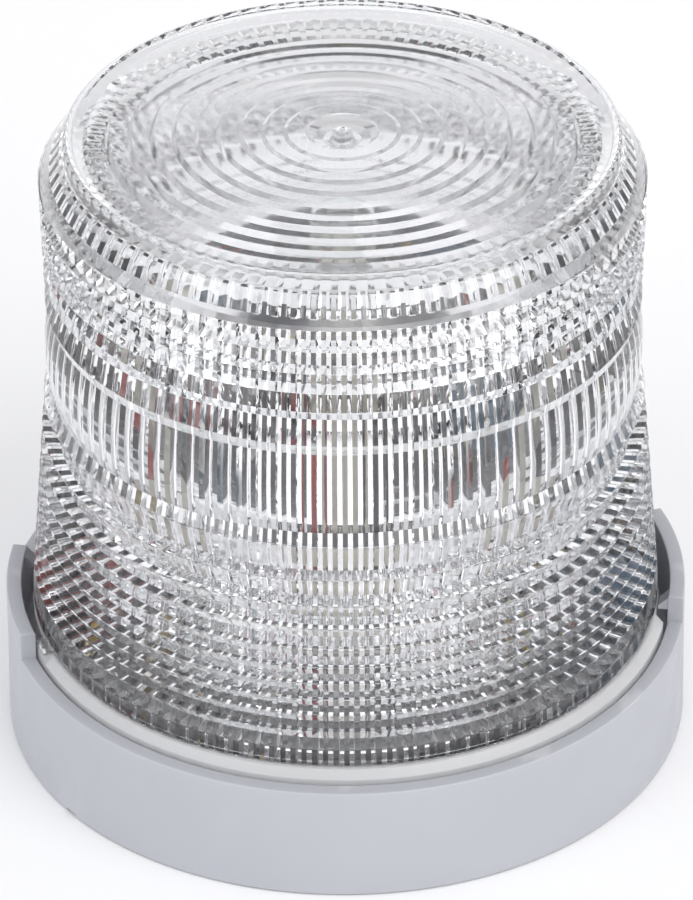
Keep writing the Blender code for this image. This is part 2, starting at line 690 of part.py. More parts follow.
def build():
    clear_scene()
    grey_plastic = make_material("grey_plastic", (0.55, 0.56, 0.60), 0.45)
    clear = make_material("clear_polycarbonate", (0.95, 0.96, 0.98), 0.05, transmission=1.0)
    glass = make_material("glass", (0.95, 0.97, 0.97), 0.02, transmission=1.0)
    black = make_material("black_plastic", (0.03, 0.03, 0.035), 0.5)
    rubber = make_material("black_rubber", (0.04, 0.04, 0.04), 0.85)
    foam = make_material("grey_foam", (0.12, 0.12, 0.13), 0.95)
    silicone = make_material("white_silicone", (0.86, 0.86, 0.84), 0.6)
    laminate = make_material("board_laminate", (0.09, 0.09, 0.115), 0.35)
    steel = make_material("plated_steel", (0.72, 0.72, 0.70), 0.3, 1.0)
    aluminium = make_material("aluminium", (0.66, 0.67, 0.69), 0.4, 1.0)
    brass = make_material("brass", (0.75, 0.58, 0.28), 0.3, 1.0)
    blue_sleeve = make_material("blue_sleeve", (0.015, 0.08, 0.15), 0.35)
    red_box = make_material("red_epoxy", (0.38, 0.04, 0.04), 0.35)
    ferrite = make_material("ferrite", (0.07, 0.07, 0.075), 0.55)
    tape = make_material("yellow_tape", (0.72, 0.52, 0.10), 0.4)
    ceramic = make_material("cream_ceramic", (0.80, 0.76, 0.66), 0.5)
    white = make_material("white_plastic", (0.85, 0.85, 0.83), 0.4)
    red_wire = make_material("red_sleeve", (0.50, 0.02, 0.02), 0.5)

    make_base_housing(grey_plastic)
    make_mounting_gasket(foam)
    make_cable_grommet(rubber)
    set_origin(make_lens_gasket(silicone), (0.0, 0.0, SEAT_Z))
    set_origin(make_lens(clear), (0.0, 0.0, SEAT_Z))
    make_circuit_board(laminate)
    make_board_screws(steel)
    make_storage_capacitor(blue_sleeve)
    make_block_part("film_capacitor", (11.0, 18.0, 22.0), (-42.0, 9.0), red_box)
    make_block_part("filter_capacitor", (7.0, 16.0, 13.0), (-27.0, 6.0), ferrite)
    make_block_part("trigger_transformer", (10.0, 10.0, 13.0), (-13.0, -23.0), tape)
    make_block_part("flasher_chip", (9.6, 6.4, 3.4), (-12.0, 24.0), black, 15.0, 0.3)
    make_inverter_transformer(ferrite, tape)
    make_heat_sink(aluminium, black)
    make_terminal_block(black, steel)
    make_rectifier(black)
    make_fuse(glass, steel)
    make_tube_post(ceramic)
    tube_along("flash_tube", tube_route(), TUBE_RADIUS, glass, 2)
    make_trigger_wire(steel)
    make_tube_leads(red_wire, rubber)
    make_horn(black, brass, white)
    make_selector(black, white)


build()
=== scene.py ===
"""Looks of the horn strobe: a clear prismatic lens, its moulded base and the lit board inside.

Mesh functions work in millimetres and place() turns them into metres. Angles are in degrees,
anticlockwise from +X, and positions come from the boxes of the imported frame.
"""

import json
import math

import bmesh
import bpy
from mathutils import Matrix, Vector


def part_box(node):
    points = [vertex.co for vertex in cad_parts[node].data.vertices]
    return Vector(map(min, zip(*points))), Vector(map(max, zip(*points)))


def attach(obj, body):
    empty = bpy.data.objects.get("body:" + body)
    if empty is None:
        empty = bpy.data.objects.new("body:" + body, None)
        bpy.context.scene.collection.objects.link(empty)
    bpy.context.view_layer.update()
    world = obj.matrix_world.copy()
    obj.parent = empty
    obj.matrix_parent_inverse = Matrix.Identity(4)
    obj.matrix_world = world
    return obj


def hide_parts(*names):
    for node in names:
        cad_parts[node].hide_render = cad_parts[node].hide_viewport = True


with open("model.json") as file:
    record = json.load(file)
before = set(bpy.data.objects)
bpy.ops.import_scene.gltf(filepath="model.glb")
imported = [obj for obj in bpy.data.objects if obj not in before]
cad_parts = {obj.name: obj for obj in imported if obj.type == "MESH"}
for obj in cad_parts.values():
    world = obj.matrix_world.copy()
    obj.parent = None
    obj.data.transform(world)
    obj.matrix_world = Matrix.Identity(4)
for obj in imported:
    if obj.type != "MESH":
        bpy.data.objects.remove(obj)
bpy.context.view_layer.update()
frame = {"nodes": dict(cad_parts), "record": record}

MM = 0.001
SMOOTH_ANGLE = 32.0
REFINED_ANGLE = 40.0

# Base housing
WALL_FOOT_RADIUS = 66.42
WALL_TOP_RADIUS = 66.15
RIM_INNER_RADIUS = 63.2
RIM_Z = 23.3
TAB_Z = 29.0
SEAT_Z = 15.5
BASE_INNER_RADIUS = 58.6
FLOOR_Z = 3.0
CABLE_HOLE_RADIUS = 11.1
TAB_SPAN = (-9.0, 19.0)
HOOK_SPAN = (-8.85, -5.85)
HOOK_TIP = (61.3, 26.6)
HOOK_UNDERSIDE_Z = 25.9
MOUNT_HOLE_ANGLES = (55.0, 235.0)
MOUNT_HOLE_SPACING = 88.9
MOUNT_HOLE_RADIUS = 2.7
BOARD_SCREW_ANGLES = (30.0, 150.0, 210.0, 330.0)
BOARD_SCREW_RADIUS = 47.0
SCREW_HOLE_RADIUS = 1.7
SOUND_SLOT_ANGLES = (103.0, 108.0, 113.0, 118.0, 123.0)
WEEP_SLOT_ANGLE = 217.0

# Lens
GLASS_INDEX = 1.586
FOCUS_Z = 83.4
LENS_STATIONS = 240
FLUTES = 90
FLUTE_STEPS = 8
FLUTE_DEPTH = 1.0
FLUTE_CLIP = 1.35
DRUM_RADIUS = 56.9
DRUM_FOOT_Z = 72.7
DRUM_TOP_Z = 94.0
SKIRT_Z = 26.8
LOWER_PRISMS = (7.0, 5.3, 4.7, 4.5, 3.9, 3.5, 3.4, 3.2, 3.5, 4.1)
UPPER_PRISMS = (5.9, 5.5, 4.2, 4.7, 4.6)
LOWER_TIPS = (57.4, 60.9)
UPPER_TIPS = (56.5, 57.0)
STEEPEST_FACE = 0.88
TIP_ROUND = 0.16
RING_CREASE = 11.0
LENS_SMOOTH_ANGLE = 24.0
CAP_RADIUS = 52.3
CAP_EDGE_Z = 124.6
ROLL_RADIUS = 1.1
CREST_Z = 127.6
DISC_RADIUS = 48.4
DISC_EDGE_Z = 126.3
DISC_RISE = 1.4
DISH_RADIUS = 6.9
DISC_RINGS = 10
RING_RISE = 1.3
RING_CREST_SHARE = 0.8
DISC_HAZE = 0.05
HAZE_Z = (120.0, 122.0)
FROST_ROUGHNESS = 0.45
FLANGE_RADIUS = 62.6
FLANGE_FOOT_Z = 17.3
FLANGE_EDGE_Z = 24.2
FLANGE_TOP_Z = 25.6
FLANGE_ROOT_RADIUS = 60.2
NOTCH_RADIUS = 61.0
NOTCH_SPAN = (-10.5, 17.0)
LUG_SPAN = (18.0, 22.5)
LUG_RADIUS = 62.8
LUG_Z = 26.7

# Board and flash tube
BOARD_RADIUS = 54.0
BOARD_BOTTOM_Z = 12.0
BOARD_TOP_Z = 13.6
ACCESS_HOLE_RADIUS = 5.5
BOARD_COLOUR = (0.09, 0.09, 0.115)
POST_TOP_Z = 62.0
TUBE_LEG_X = 5.5
TUBE_RADIUS = 2.6
TUBE_TOP_Z = 98.0
RESISTORS = (
    (20.5, 9.0, 0.0), (20.5, 13.0, 0.0), (20.5, 17.0, 0.0), (20.5, -9.0, 0.0),
    (20.5, -13.0, 0.0), (-19.0, 13.0, 90.0), (-19.0, -7.0, 90.0), (-15.0, -38.0, 150.0),
)
DISC_CAPACITORS = ((1.0, -13.0, 0.0), (-28.5, -8.0, 70.0), (-3.0, 15.0, 20.0), (24.0, 30.0, 45.0))
PART_LEGS = (
    (34.2, 23.2), (20.0, 24.0), (3.5, 24.5), (8.5, 24.5), (-8.0, 17.0),
    (-12.0, 17.0), (-42.0, 16.0), (-27.0, 12.0), (-27.0, 0.0), (-15.5, 3.0),
    (-42.0, -8.0), (-24.0, -14.0), (-38.0, -28.0), (-16.5, -26.5), (-9.5, -26.5),
    (-9.5, -19.5), (-16.5, -19.5), (-9.3, -36.0), (-3.1, -36.0), (3.1, -36.0),
    (9.3, -36.0), (26.0, -38.0), (34.0, -38.0), (34.0, -24.0), (15.5, -16.5),
    (15.5, 3.0),
)
PRINTED_NODES = (
    "film_capacitor", "filter_capacitor", "trigger_transformer", "selector_switch", "terminal_block",
)
LEG_FOOT_Z = 13.4
PIN_PITCH = 2.54
SIDES = (-1.0, 1.0)

# Room
FLOOR_SIZE = 3000.0
ROOM_LIGHT = 0.92
BACK_LIGHT = 0.6
LIGHT_AIM = (0.0, 0.0, 0.06)


# --- Mesh tools ---


def polar(radius, angle, z=0.0):
    """The point at a radius and an angle in degrees."""
    turn = math.radians(angle)
    return Vector((radius * math.cos(turn), radius * math.sin(turn), z))


def centre_of(node):
    """Middle of a CAD node's box, in millimetres."""
    low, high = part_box(node)
    return (low + high) / 2 / MM


def size_of(node):
    low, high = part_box(node)
    return (high - low) / MM


def up(height):
    return Vector((0.0, 0.0, height))


def rotation(angle, axis="Z"):
    return Matrix.Rotation(math.radians(angle), 4, axis)


def lifted(outline, height):
    """An outline of (radius, z) points moved up."""
    return [(radius, height + z) for radius, z in outline]


def shade(data, smooth_angle):
    """Shade smoothly, with the edges sharper than the angle left sharp."""
    data.shade_smooth()
    data.set_sharp_from_angle(angle=math.radians(smooth_angle))


def place(name, mesh, material, smooth_angle=SMOOTH_ANGLE):
    """Turn a bmesh drawn in millimetres into an object in metres."""
    bmesh.ops.recalc_face_normals(mesh, faces=mesh.faces)
    bmesh.ops.scale(mesh, vec=(MM, MM, MM), verts=mesh.verts)
    data = bpy.data.meshes.new(name)
    mesh.to_mesh(data)
    mesh.free()
    shade(data, smooth_angle)
    if material:
        data.materials.append(material)
    made = bpy.data.objects.new(name, data)
    bpy.context.scene.collection.objects.link(made)
    return made


def add(name, mesh, slot, *nodes, body="base", smooth_angle=SMOOTH_ANGLE):
    """Finish a mesh as a piece in its slot's material."""
    return show(place(name, mesh, finishes[slot], smooth_angle), body, slot, *nodes)


def show(piece, body, slot, *nodes):
    """Give a piece its body and hide the CAD nodes that it stands for. The slot is not used."""
    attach(piece, body)
    if nodes:
        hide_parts(*nodes)
    return piece


def add_cut(name, mesh, cutter_mesh, slot, *nodes):
    """Finish a mesh of the base, with closed shapes cut out of it, as a piece in its slot's material."""
    return show(cut(place(name, mesh, finishes[slot]), cutter_mesh), "base", slot, *nodes)


def apply_modifiers(piece):
    graph = bpy.context.evaluated_depsgraph_get()
    data = bpy.data.meshes.new_from_object(piece.evaluated_get(graph))
    piece.modifiers.clear()
    piece.data = data
    return piece


def cut(piece, cutter_mesh, operation="DIFFERENCE"):
    """Cut a closed shape out of the piece, or join it on."""
    helper = place(piece.name + "_helper", cutter_mesh, None)
    modifier = piece.modifiers.new("shape", "BOOLEAN")
    modifier.operation = operation
    modifier.object = helper
    modifier.solver = "EXACT"
    apply_modifiers(piece)
    bpy.data.objects.remove(helper)
    shade(piece.data, SMOOTH_ANGLE)
    return piece


def join(target, part):
    """Add a bmesh's faces to the target's, and free it."""
    held = bpy.data.meshes.new("held")
    part.to_mesh(held)
    part.free()
    target.from_mesh(held)
    bpy.data.meshes.remove(held)


def arc(centre, radius, start, end, steps):
    """Points of an arc in the (radius, z) plane."""
    points = []
    for k in range(steps + 1):
        turn = math.radians(start + (end - start) * k / steps)
        points.append((centre[0] + radius * math.cos(turn), centre[1] + radius * math.sin(turn)))
    return points


def bridge(mesh, first, second, closed=True):
    """Faces between two rows of vertices, whose last ones are also joined to the first when closed."""
    for k in range(len(first) if closed else len(first) - 1):
        after = (k + 1) % len(first)
        mesh.faces.new((first[k], first[after], second[after], second[k]))


def turned(outline, sides, centre=(0.0, 0.0), closed=True, into=None):
    """Turn an outline of (radius, z) points about a vertical axis."""
    mesh = into or bmesh.new()
    rings = []
    for radius, z in outline:
        if radius < 1e-6:
            rings.append([mesh.verts.new((centre[0], centre[1], z))])
            continue
        points = (polar(radius, 360.0 * k / sides, z) for k in range(sides))
        rings.append([mesh.verts.new((p.x + centre[0], p.y + centre[1], p.z)) for p in points])
    after = rings[1:] + rings[:1] if closed else rings[1:]
    for first, second in zip(rings, after):
        for k in range(sides):
            following = (k + 1) % sides
            corners = [first[k % len(first)], first[following % len(first)]]
            corners += [second[following % len(second)], second[k % len(second)]]
            unique = list(dict.fromkeys(corners))
            if len(unique) > 2:
                mesh.faces.new(unique)
    return mesh


def rod(radius, start, end, sides, into=None, taper=1.0):
    """A straight rod between two points, which may narrow or widen."""
    mesh = into or bmesh.new()
    axis = Vector(end) - Vector(start)
    spot = Matrix.Translation((Vector(start) + Vector(end)) / 2)
    spot = spot @ axis.to_track_quat("Z", "Y").to_matrix().to_4x4()
    shape = {"segments": sides, "radius1": radius, "radius2": radius * taper, "depth": axis.length}
    bmesh.ops.create_cone(mesh, cap_ends=True, matrix=spot, **shape)
    return mesh


def peg(radius, foot, height, sides, into=None, taper=1.0):
    """An upright rod."""
    return rod(radius, foot, foot + up(height), sides, into, taper)


def block(size, centre, angle=0.0, bevel=0.0, into=None, segments=3):
    """A box with its edges rounded, turned about the vertical axis."""
    mesh = into or bmesh.new()
    spot = Matrix.Translation(centre) @ rotation(angle) @ Matrix.Diagonal((*size, 1.0))
    made = bmesh.ops.create_cube(mesh, size=1.0, matrix=spot)
    if bevel:
        edges = list({edge for vert in made["verts"] for edge in vert.link_edges})
        bmesh.ops.bevel(mesh, geom=edges, offset=bevel, segments=segments, affect="EDGES", profile=0.5)
    return mesh


def path_rings(mesh, points, radii, sides):
    """Rings of vertices along points in millimetres, held square to the path."""
    points = [Vector(p) for p in points]
    rings = []
    side = None
    for here, (point, radius) in enumerate(zip(points, radii)):
        ahead = points[min(here + 1, len(points) - 1)] - points[max(here - 1, 0)]
        ahead.normalize()
        side = side or ahead.orthogonal().normalized()
        side = (side - ahead * side.dot(ahead)).normalized()
        other = ahead.cross(side)
        turns = (2 * math.pi * k / sides for k in range(sides))
        spokes = (side * math.cos(turn) + other * math.sin(turn) for turn in turns)
        rings.append([mesh.verts.new(point + radius * spoke) for spoke in spokes])
    for first, second in zip(rings, rings[1:]):
        bridge(mesh, first, second)
    return rings


def swept(points, radius, sides, into=None):
    """A round wire along points in millimetres, with flat ends."""
    mesh = into or bmesh.new()
    rings = path_rings(mesh, points, [radius] * len(points), sides)
    mesh.faces.new(rings[0][::-1])
    mesh.faces.new(rings[-1])
    return mesh


def hollow_tube(points, outer, inner, sides):
    """A tube with a wall: outer and inner are lists of radii along the points."""
    mesh = bmesh.new()
    outside = path_rings(mesh, points, outer, sides)
    inside = path_rings(mesh, points, inner, sides)
    for end in (0, -1):
        bridge(mesh, outside[end], inside[end])
    return mesh


def smooth_route(knots, steps):
    """Points on a smooth curve through the knots (Catmull-Rom)."""
    knots = [Vector(knot) for knot in knots]
    padded = [2 * knots[0] - knots[1]] + knots + [2 * knots[-1] - knots[-2]]
    route = []
    for a, b, c, d in zip(padded, padded[1:], padded[2:], padded[3:]):
        for k in range(steps):
            t = k / steps
            bend = (2 * a - 5 * b + 4 * c - d) * t * t + (3 * b - a - 3 * c + d) * t**3
            route.append(0.5 * (2 * b + (c - a) * t + bend))
    route.append(knots[-1])
    return route


def refined(node, name, slot, width, segments):
    """A copy of a CAD node with its facets merged and its sharp edges rounded."""
    mesh = bmesh.new()
    mesh.from_mesh(frame["nodes"][node].data)
    bmesh.ops.scale(mesh, vec=(1 / MM, 1 / MM, 1 / MM), verts=mesh.verts)
    bmesh.ops.remove_doubles(mesh, verts=mesh.verts, dist=0.002)
    bmesh.ops.dissolve_limit(mesh, angle_limit=math.radians(1.0), verts=mesh.verts, edges=mesh.edges)
    piece = place(name, mesh, finishes[slot], REFINED_ANGLE)
    modifier = piece.modifiers.new("edges", "BEVEL")
    modifier.width = width * MM
    modifier.segments = segments
    modifier.limit_method = "ANGLE"
    modifier.angle_limit = math.radians(REFINED_ANGLE)
    modifier.use_clamp_overlap = True
    apply_modifiers(piece)
    shade(piece.data, REFINED_ANGLE)
    return piece


def add_refined(node, name, slot, width, segments=2):
    """Finish a refined copy of a CAD node of the base as the piece that stands for it."""
    return show(refined(node, name, slot, width, segments), "base", slot, node)


# --- Materials ---


class Surface:
    """A node material round one Principled shader. Patterns lie in the piece's own coordinates."""

    def __init__(self, name, **settings):
        self.material = bpy.data.materials.new(name)
        self.material.use_nodes = True
        self.tree = self.material.node_tree
        self.shader = self.tree.nodes["Principled BSDF"]
        self.place_from = self.node("TexCoord").outputs["Object"]
        self.last_bump = None
        for key, value in settings.items():
            socket = self.shader.inputs[key.replace("_", " ")]
            socket.default_value = (*value, 1.0) if isinstance(value, tuple) else value

    def node(self, kind):
        return self.tree.nodes.new("ShaderNode" + kind)

    def link(self, source, target):
        self.tree.links.new(source, target)

    def mapped(self, stretch):
        node = self.node("Mapping")
        node.inputs["Scale"].default_value = stretch
        self.link(self.place_from, node.inputs["Vector"])
        return node.outputs["Vector"]

    def noise(self, size, detail, stretch=(1.0, 1.0, 1.0)):
        """Noise whose blotches are about size millimetres across."""
        node = self.node("TexNoise")
        node.inputs["Scale"].default_value = 1 / (size * MM)
        node.inputs["Detail"].default_value = detail
        self.link(self.mapped(stretch), node.inputs["Vector"])
        return node.outputs["Fac"]

    def cells(self, size):
        node = self.node("TexVoronoi")
        node.inputs["Scale"].default_value = 1 / (size * MM)
        self.link(self.place_from, node.inputs["Vector"])
        return node.outputs["Distance"]

    def waves(self, size, direction):
        node = self.node("TexWave")
        node.wave_type = "BANDS"
        node.bands_direction = direction
        node.inputs["Scale"].default_value = 1 / (size * MM) / math.pi
        node.inputs["Distortion"].default_value = 0.6
        self.link(self.place_from, node.inputs["Vector"])
        return node.outputs["Fac"]

    def pointiness(self):
        return self.node("NewGeometry").outputs["Pointiness"]

    def ranged(self, source, low, high, to_low=0.0, to_high=1.0):
        node = self.node("MapRange")
        node.clamp = True
        for key, value in (("From Min", low), ("From Max", high), ("To Min", to_low), ("To Max", to_high)):
            node.inputs[key].default_value = value
        self.link(source, node.inputs["Value"])
        return node.outputs["Result"]

    def colours(self, source, first, second, under=None):
        """Blend two colours by a factor. under is a colour output to blend over instead of first."""
        node = self.node("Mix")
        node.data_type = "RGBA"
        colour_inputs = [socket for socket in node.inputs if socket.type == "RGBA"]
        colour_inputs[0].default_value = (*first, 1.0)
        colour_inputs[1].default_value = (*second, 1.0)
        if under:
            self.link(under, colour_inputs[0])
        self.link(source, node.inputs["Factor"])
        result = [socket for socket in node.outputs if socket.type == "RGBA"][0]
        self.link(result, self.shader.inputs["Base Color"])
        return result

    def roughness(self, source, low, high):
        self.link(self.ranged(source, 0.3, 0.7, low, high), self.shader.inputs["Roughness"])

    def bump(self, source, height):
        """Raise the surface by up to height millimetres where the source is 1."""
        node = self.node("Bump")
        node.inputs["Strength"].default_value = 1.0
        node.inputs["Distance"].default_value = height * MM
        self.link(source, node.inputs["Height"])
        if self.last_bump:
            self.link(self.last_bump, node.inputs["Normal"])
        self.last_bump = node.outputs["Normal"]
        self.link(self.last_bump, self.shader.inputs["Normal"])


def scaled(colour, factor):
    return tuple(min(1.0, c * factor) for c in colour)


def whitened(colour, share):
    return tuple(c + (1 - c) * share for c in colour)


def moulded(name, colour, roughness=0.42, shift=0.05, edge_highlight_and_wear=0.18):
    """Satin injection-moulded plastic: spark-eroded grain, faint flow marks, and sharp edges painted paler,
    partly as wear and partly as a painted highlight.
    """
    made = Surface(name, Base_Color=colour, IOR=1.5)
    paler = scaled(colour, 1 + shift)
    blend = made.colours(made.noise(22.0, 4.0), scaled(colour, 1 - shift), paler)
    # Sharp edges painted paler: partly wear, partly a painted highlight along the edges.
    made.colours(made.ranged(made.pointiness(), 0.52, 0.60), paler, whitened(colour, edge_highlight_and_wear), blend)
    made.roughness(made.noise(6.0, 5.0), roughness - 0.06, roughness + 0.08)
    made.bump(made.noise(0.35, 2.0), 0.012)
    made.bump(made.noise(9.0, 1.0), 0.024)
    return made.material


def clear_plastic():
    """Clear polycarbonate: polished, with a faint haze over the disc and a frosted flange at the foot."""
    made = Surface("clear_polycarbonate", Base_Color=(0.985, 0.99, 1.0), IOR=GLASS_INDEX)
    split = made.node("SeparateXYZ")
    made.link(made.place_from, split.inputs["Vector"])
    above = made.ranged(split.outputs["Z"], (FLANGE_TOP_Z + 0.1) * MM, (SKIRT_Z - 0.3) * MM)
    across = made.node("VectorMath")
    across.operation = "LENGTH"
    made.link(made.mapped((1.0, 1.0, 0.0)), across.inputs[0])
    inside = made.ranged(across.outputs["Value"], (FLANGE_ROOT_RADIUS + 0.7) * MM, FLANGE_ROOT_RADIUS * MM)
    either = made.node("Math")
    either.operation = "MAXIMUM"
    made.link(above, either.inputs[0])
    made.link(inside, either.inputs[1])
    polished = either.outputs["Value"]
    clearness = made.ranged(polished, 0.0, 1.0, 0.5, 1.0)
    made.link(clearness, made.shader.inputs["Transmission Weight"])
    marks = made.ranged(made.noise(14.0, 5.0), 0.3, 0.7, 0.0, 0.035)
    blend = made.node("Mix")
    blend.inputs["A"].default_value = FROST_ROUGHNESS
    made.link(marks, blend.inputs["B"])
    made.link(polished, blend.inputs["Factor"])
    haze = made.node("Math")
    haze.operation = "ADD"
    made.link(blend.outputs["Result"], haze.inputs[0])
    low, high = HAZE_Z
    made.link(made.ranged(split.outputs["Z"], low * MM, high * MM, 0.0, DISC_HAZE), haze.inputs[1])
    made.link(haze.outputs["Value"], made.shader.inputs["Roughness"])
    made.bump(made.noise(11.0, 2.0), 0.02)
    return made.material


def clear_glass():
    """Clear glass, with faint ripples and finger marks."""
    made = Surface("clear_glass", Base_Color=(0.97, 0.99, 0.98), Transmission_Weight=1.0, IOR=1.47)
    made.roughness(made.noise(5.0, 4.0), 0.0, 0.05)
    made.bump(made.noise(7.0, 1.0), 0.02)
    return made.material


def metal(name, colour, roughness, brushed=(1.0, 1.0, 1.0)):
    """Bare or plated metal with fine drawing lines and patches of duller tarnish."""
    made = Surface(name, Base_Color=colour, Metallic=1.0)
    made.colours(made.ranged(made.noise(3.5, 5.0), 0.45, 0.75), colour, scaled(colour, 0.75))
    made.roughness(made.noise(0.8, 4.0, brushed), roughness - 0.08, roughness + 0.12)
    made.bump(made.noise(0.25, 2.0, brushed), 0.01)
    return made.material


def rubber(name, colour, roughness=0.8):
    """Matte rubber with dusty patches."""
    made = Surface(name, Base_Color=colour, IOR=1.45)
    made.colours(made.ranged(made.noise(7.0, 6.0), 0.5, 0.8), colour, whitened(colour, 0.12))
    made.roughness(made.noise(1.5, 4.0), roughness - 0.1, roughness + 0.1)
    made.bump(made.noise(0.3, 3.0), 0.02)
    return made.material


def foam():
    """Closed-cell foam, with painted shade darkening its pits."""
    made = Surface("grey_foam", Base_Color=(0.12, 0.12, 0.13), Roughness=0.95)
    # Painted shade: the middle of each cell is painted darker, as shade in the pits.
    made.colours(made.cells(0.7), (0.05, 0.05, 0.055), (0.19, 0.19, 0.2))
    made.bump(made.cells(0.7), 0.18)
    return made.material


def solder_mask():
    """Black lacquer over glass cloth: the weave shows through, and paler patches are a painted sheen on the
    lacquer.
    """
    made = Surface("board_laminate", Base_Color=BOARD_COLOUR, IOR=1.5, Coat_Weight=0.5, Coat_Roughness=0.12)
    weave = made.waves(0.55, "X")
    threads = made.ranged(weave, 0.2, 0.8)
    blend = made.colours(threads, scaled(BOARD_COLOUR, 0.8), scaled(BOARD_COLOUR, 1.3))
    # Painted sheen: paler brownish patches stand in for gloss on the lacquer.
    painted_sheen = made.ranged(made.noise(9.0, 5.0), 0.55, 0.85)
    made.colours(painted_sheen, BOARD_COLOUR, (0.16, 0.15, 0.14), blend)
    made.roughness(made.noise(4.0, 4.0), 0.25, 0.42)
    made.bump(weave, 0.012)
    made.bump(made.waves(0.55, "Y"), 0.012)
    return made.material


def lacquer(name, colour, roughness, drips=5.0):
    """Dipped or wrapped glossy skin with slow waves and small colour changes."""
    made = Surface(name, Base_Color=colour, IOR=1.5, Coat_Weight=0.3, Coat_Roughness=0.1)
    light = tuple(c * 1.15 + 0.01 for c in colour)
    made.colours(made.noise(drips, 4.0), scaled(colour, 0.85), light)
    made.roughness(made.noise(2.5, 4.0), roughness - 0.07, roughness + 0.1)
    made.bump(made.noise(drips * 0.7, 1.0), 0.06)
    return made.material


def ceramic(name, colour, grain=0.4):
    """Unglazed ceramic, a little stained."""
    made = Surface(name, Base_Color=colour, IOR=1.6)
    made.colours(made.ranged(made.noise(5.0, 6.0), 0.45, 0.8), colour, scaled(colour, 0.86))
    made.roughness(made.noise(1.2, 4.0), 0.42, 0.62)
    made.bump(made.noise(grain, 3.0), 0.02)
    return made.material


# --- Lens ---


def face_slope(z):
    """How far a prism's face leans for each millimetre of height, to send the tube's light out level."""
    rise = math.atan(abs(z - FOCUS_Z) / DRUM_RADIUS)
    inside = math.asin(math.sin(rise) / GLASS_INDEX)
    lean = GLASS_INDEX * math.sin(inside) / (GLASS_INDEX * math.cos(inside) - 1)
    return min(lean, STEEPEST_FACE)


def between(ends, share):
    """The value at a share of the way from one end to the other."""
    return ends[0] + (ends[1] - ends[0]) * share


def tip(radius, z, way):
    """A prism's tip, rounded off, from the ledge at z to the face that leaves it upwards or downwards."""
    r = TIP_ROUND
    return [(radius - r, z), (radius - 0.3 * r, z + way * 0.3 * r), (radius, z + way * r)]


def prisms(heights, tips, start_z, way):
    """Prisms stepping away from the drum: each face leans in from its tip to the next one's ledge."""
    total = sum(heights)
    z = start_z
    points = []
    for height in heights:
        edge = between(tips, abs(z - start_z) / total)
        depth = height * face_slope(z + way * height / 2)
        points += tip(edge, z, way)
        z += way * height
        points.append((edge - depth, z))
    return points


def drum():
    """The belt at the focus, a convex lens whose radius follows from its focal length."""
    bend = (GLASS_INDEX - 1) * DRUM_RADIUS
    steps = 10
    points = []
    for k in range(steps + 1):
        z = between((DRUM_FOOT_Z, DRUM_TOP_Z), k / steps)
        points.append((DRUM_RADIUS - bend + math.sqrt(bend**2 - (z - FOCUS_Z) ** 2), z))
    return points


def crown():
    """Bevel, rolled rim, ringed disc and the nub in its dish, from the shoulder to the axis."""
    shoulder_z = DRUM_TOP_Z + sum(UPPER_PRISMS)
    points = tip(UPPER_TIPS[1], shoulder_z, 1)
    points += [(UPPER_TIPS[1] - 0.35, shoulder_z + 0.6), (CAP_RADIUS + 0.6, CAP_EDGE_Z - 0.35)]
    points += [(CAP_RADIUS + 0.1, CAP_EDGE_Z), (CAP_RADIUS, CAP_EDGE_Z + 0.3)]
    roll_centre = (CAP_RADIUS - 0.1 - ROLL_RADIUS, CREST_Z - ROLL_RADIUS)
    points += arc(roll_centre, ROLL_RADIUS, 0.0, 140.0, 14)
    pitch = (DISC_RADIUS - DISH_RADIUS) / DISC_RINGS
    for ring in reversed(range(DISC_RINGS)):
        edge = DISH_RADIUS + pitch * (ring + 1)
        crest = DISH_RADIUS + pitch * (ring + RING_CREST_SHARE)
        rise = RING_RISE * crest / DISC_RADIUS
        points += [(edge, dome(edge)), (crest, dome(crest) + rise)]
    dish = [(6.6, -0.4), (5.4, -1.3), (3.6, -1.7), (2.4, -1.6), (2.0, -1.2)]
    nub = [(1.9, 0.0), (1.6, 0.25), (1.1, 0.3), (0.9, 0.1), (0.5, 0.1), (0.3, 0.25), (0.0, 0.25)]
    return points + [(DISH_RADIUS, dome(DISH_RADIUS))] + lifted(dish + nub, dome(0))


def dome(radius):
    """Height of the grooves between the disc's rings."""
    return DISC_EDGE_Z + DISC_RISE * (1 - (radius / DISC_RADIUS) ** 2)


def flange():
    """The turned-out foot that the hooks hold down, from its underside up to the skirt's overhang."""
    corner = 0.35
    points = [(FLANGE_RADIUS - 0.5, FLANGE_FOOT_Z), (FLANGE_RADIUS, FLANGE_FOOT_Z + 0.5)]
    points += arc((FLANGE_RADIUS - corner, FLANGE_EDGE_Z - corner), corner, 0.0, 50.0, 3)
    points += [(NOTCH_RADIUS + 0.3, FLANGE_TOP_Z - 0.1), (NOTCH_RADIUS, FLANGE_TOP_Z)]
    points += [(FLANGE_ROOT_RADIUS, FLANGE_TOP_Z + 0.1), (FLANGE_ROOT_RADIUS, SKIRT_Z - 0.1)]
    points += [(LOWER_TIPS[1] - 0.1, SKIRT_Z), (LOWER_TIPS[1], SKIRT_Z + 0.1)]
    return points + tip(LOWER_TIPS[1], DRUM_FOOT_Z - sum(LOWER_PRISMS), -1)[::-1]


def inner_wall():
    """The flutes' valleys from the foot to the crown, as radius, height and share of the flutes' depth."""
    foot = [(57.8, FLANGE_FOOT_Z, 0.0), (57.6, 18.8, 0.0), (57.3, 19.8, 1.0), (56.2, 27.0, 1.0)]
    side = [(54.2, 48.0, 1.0), (52.9, 70.0, 1.0), (52.3, 94.0, 1.0), (51.8, 116.4, 1.0)]
    crown_foot = [(50.8, 119.6, 1.0), (49.4, 121.6, 1.0), (46.5, 122.3, 0.6)]
    return foot + side + crown_foot + [(40.0, 122.6, 0.0), (18.0, 123.4, 0.0)]


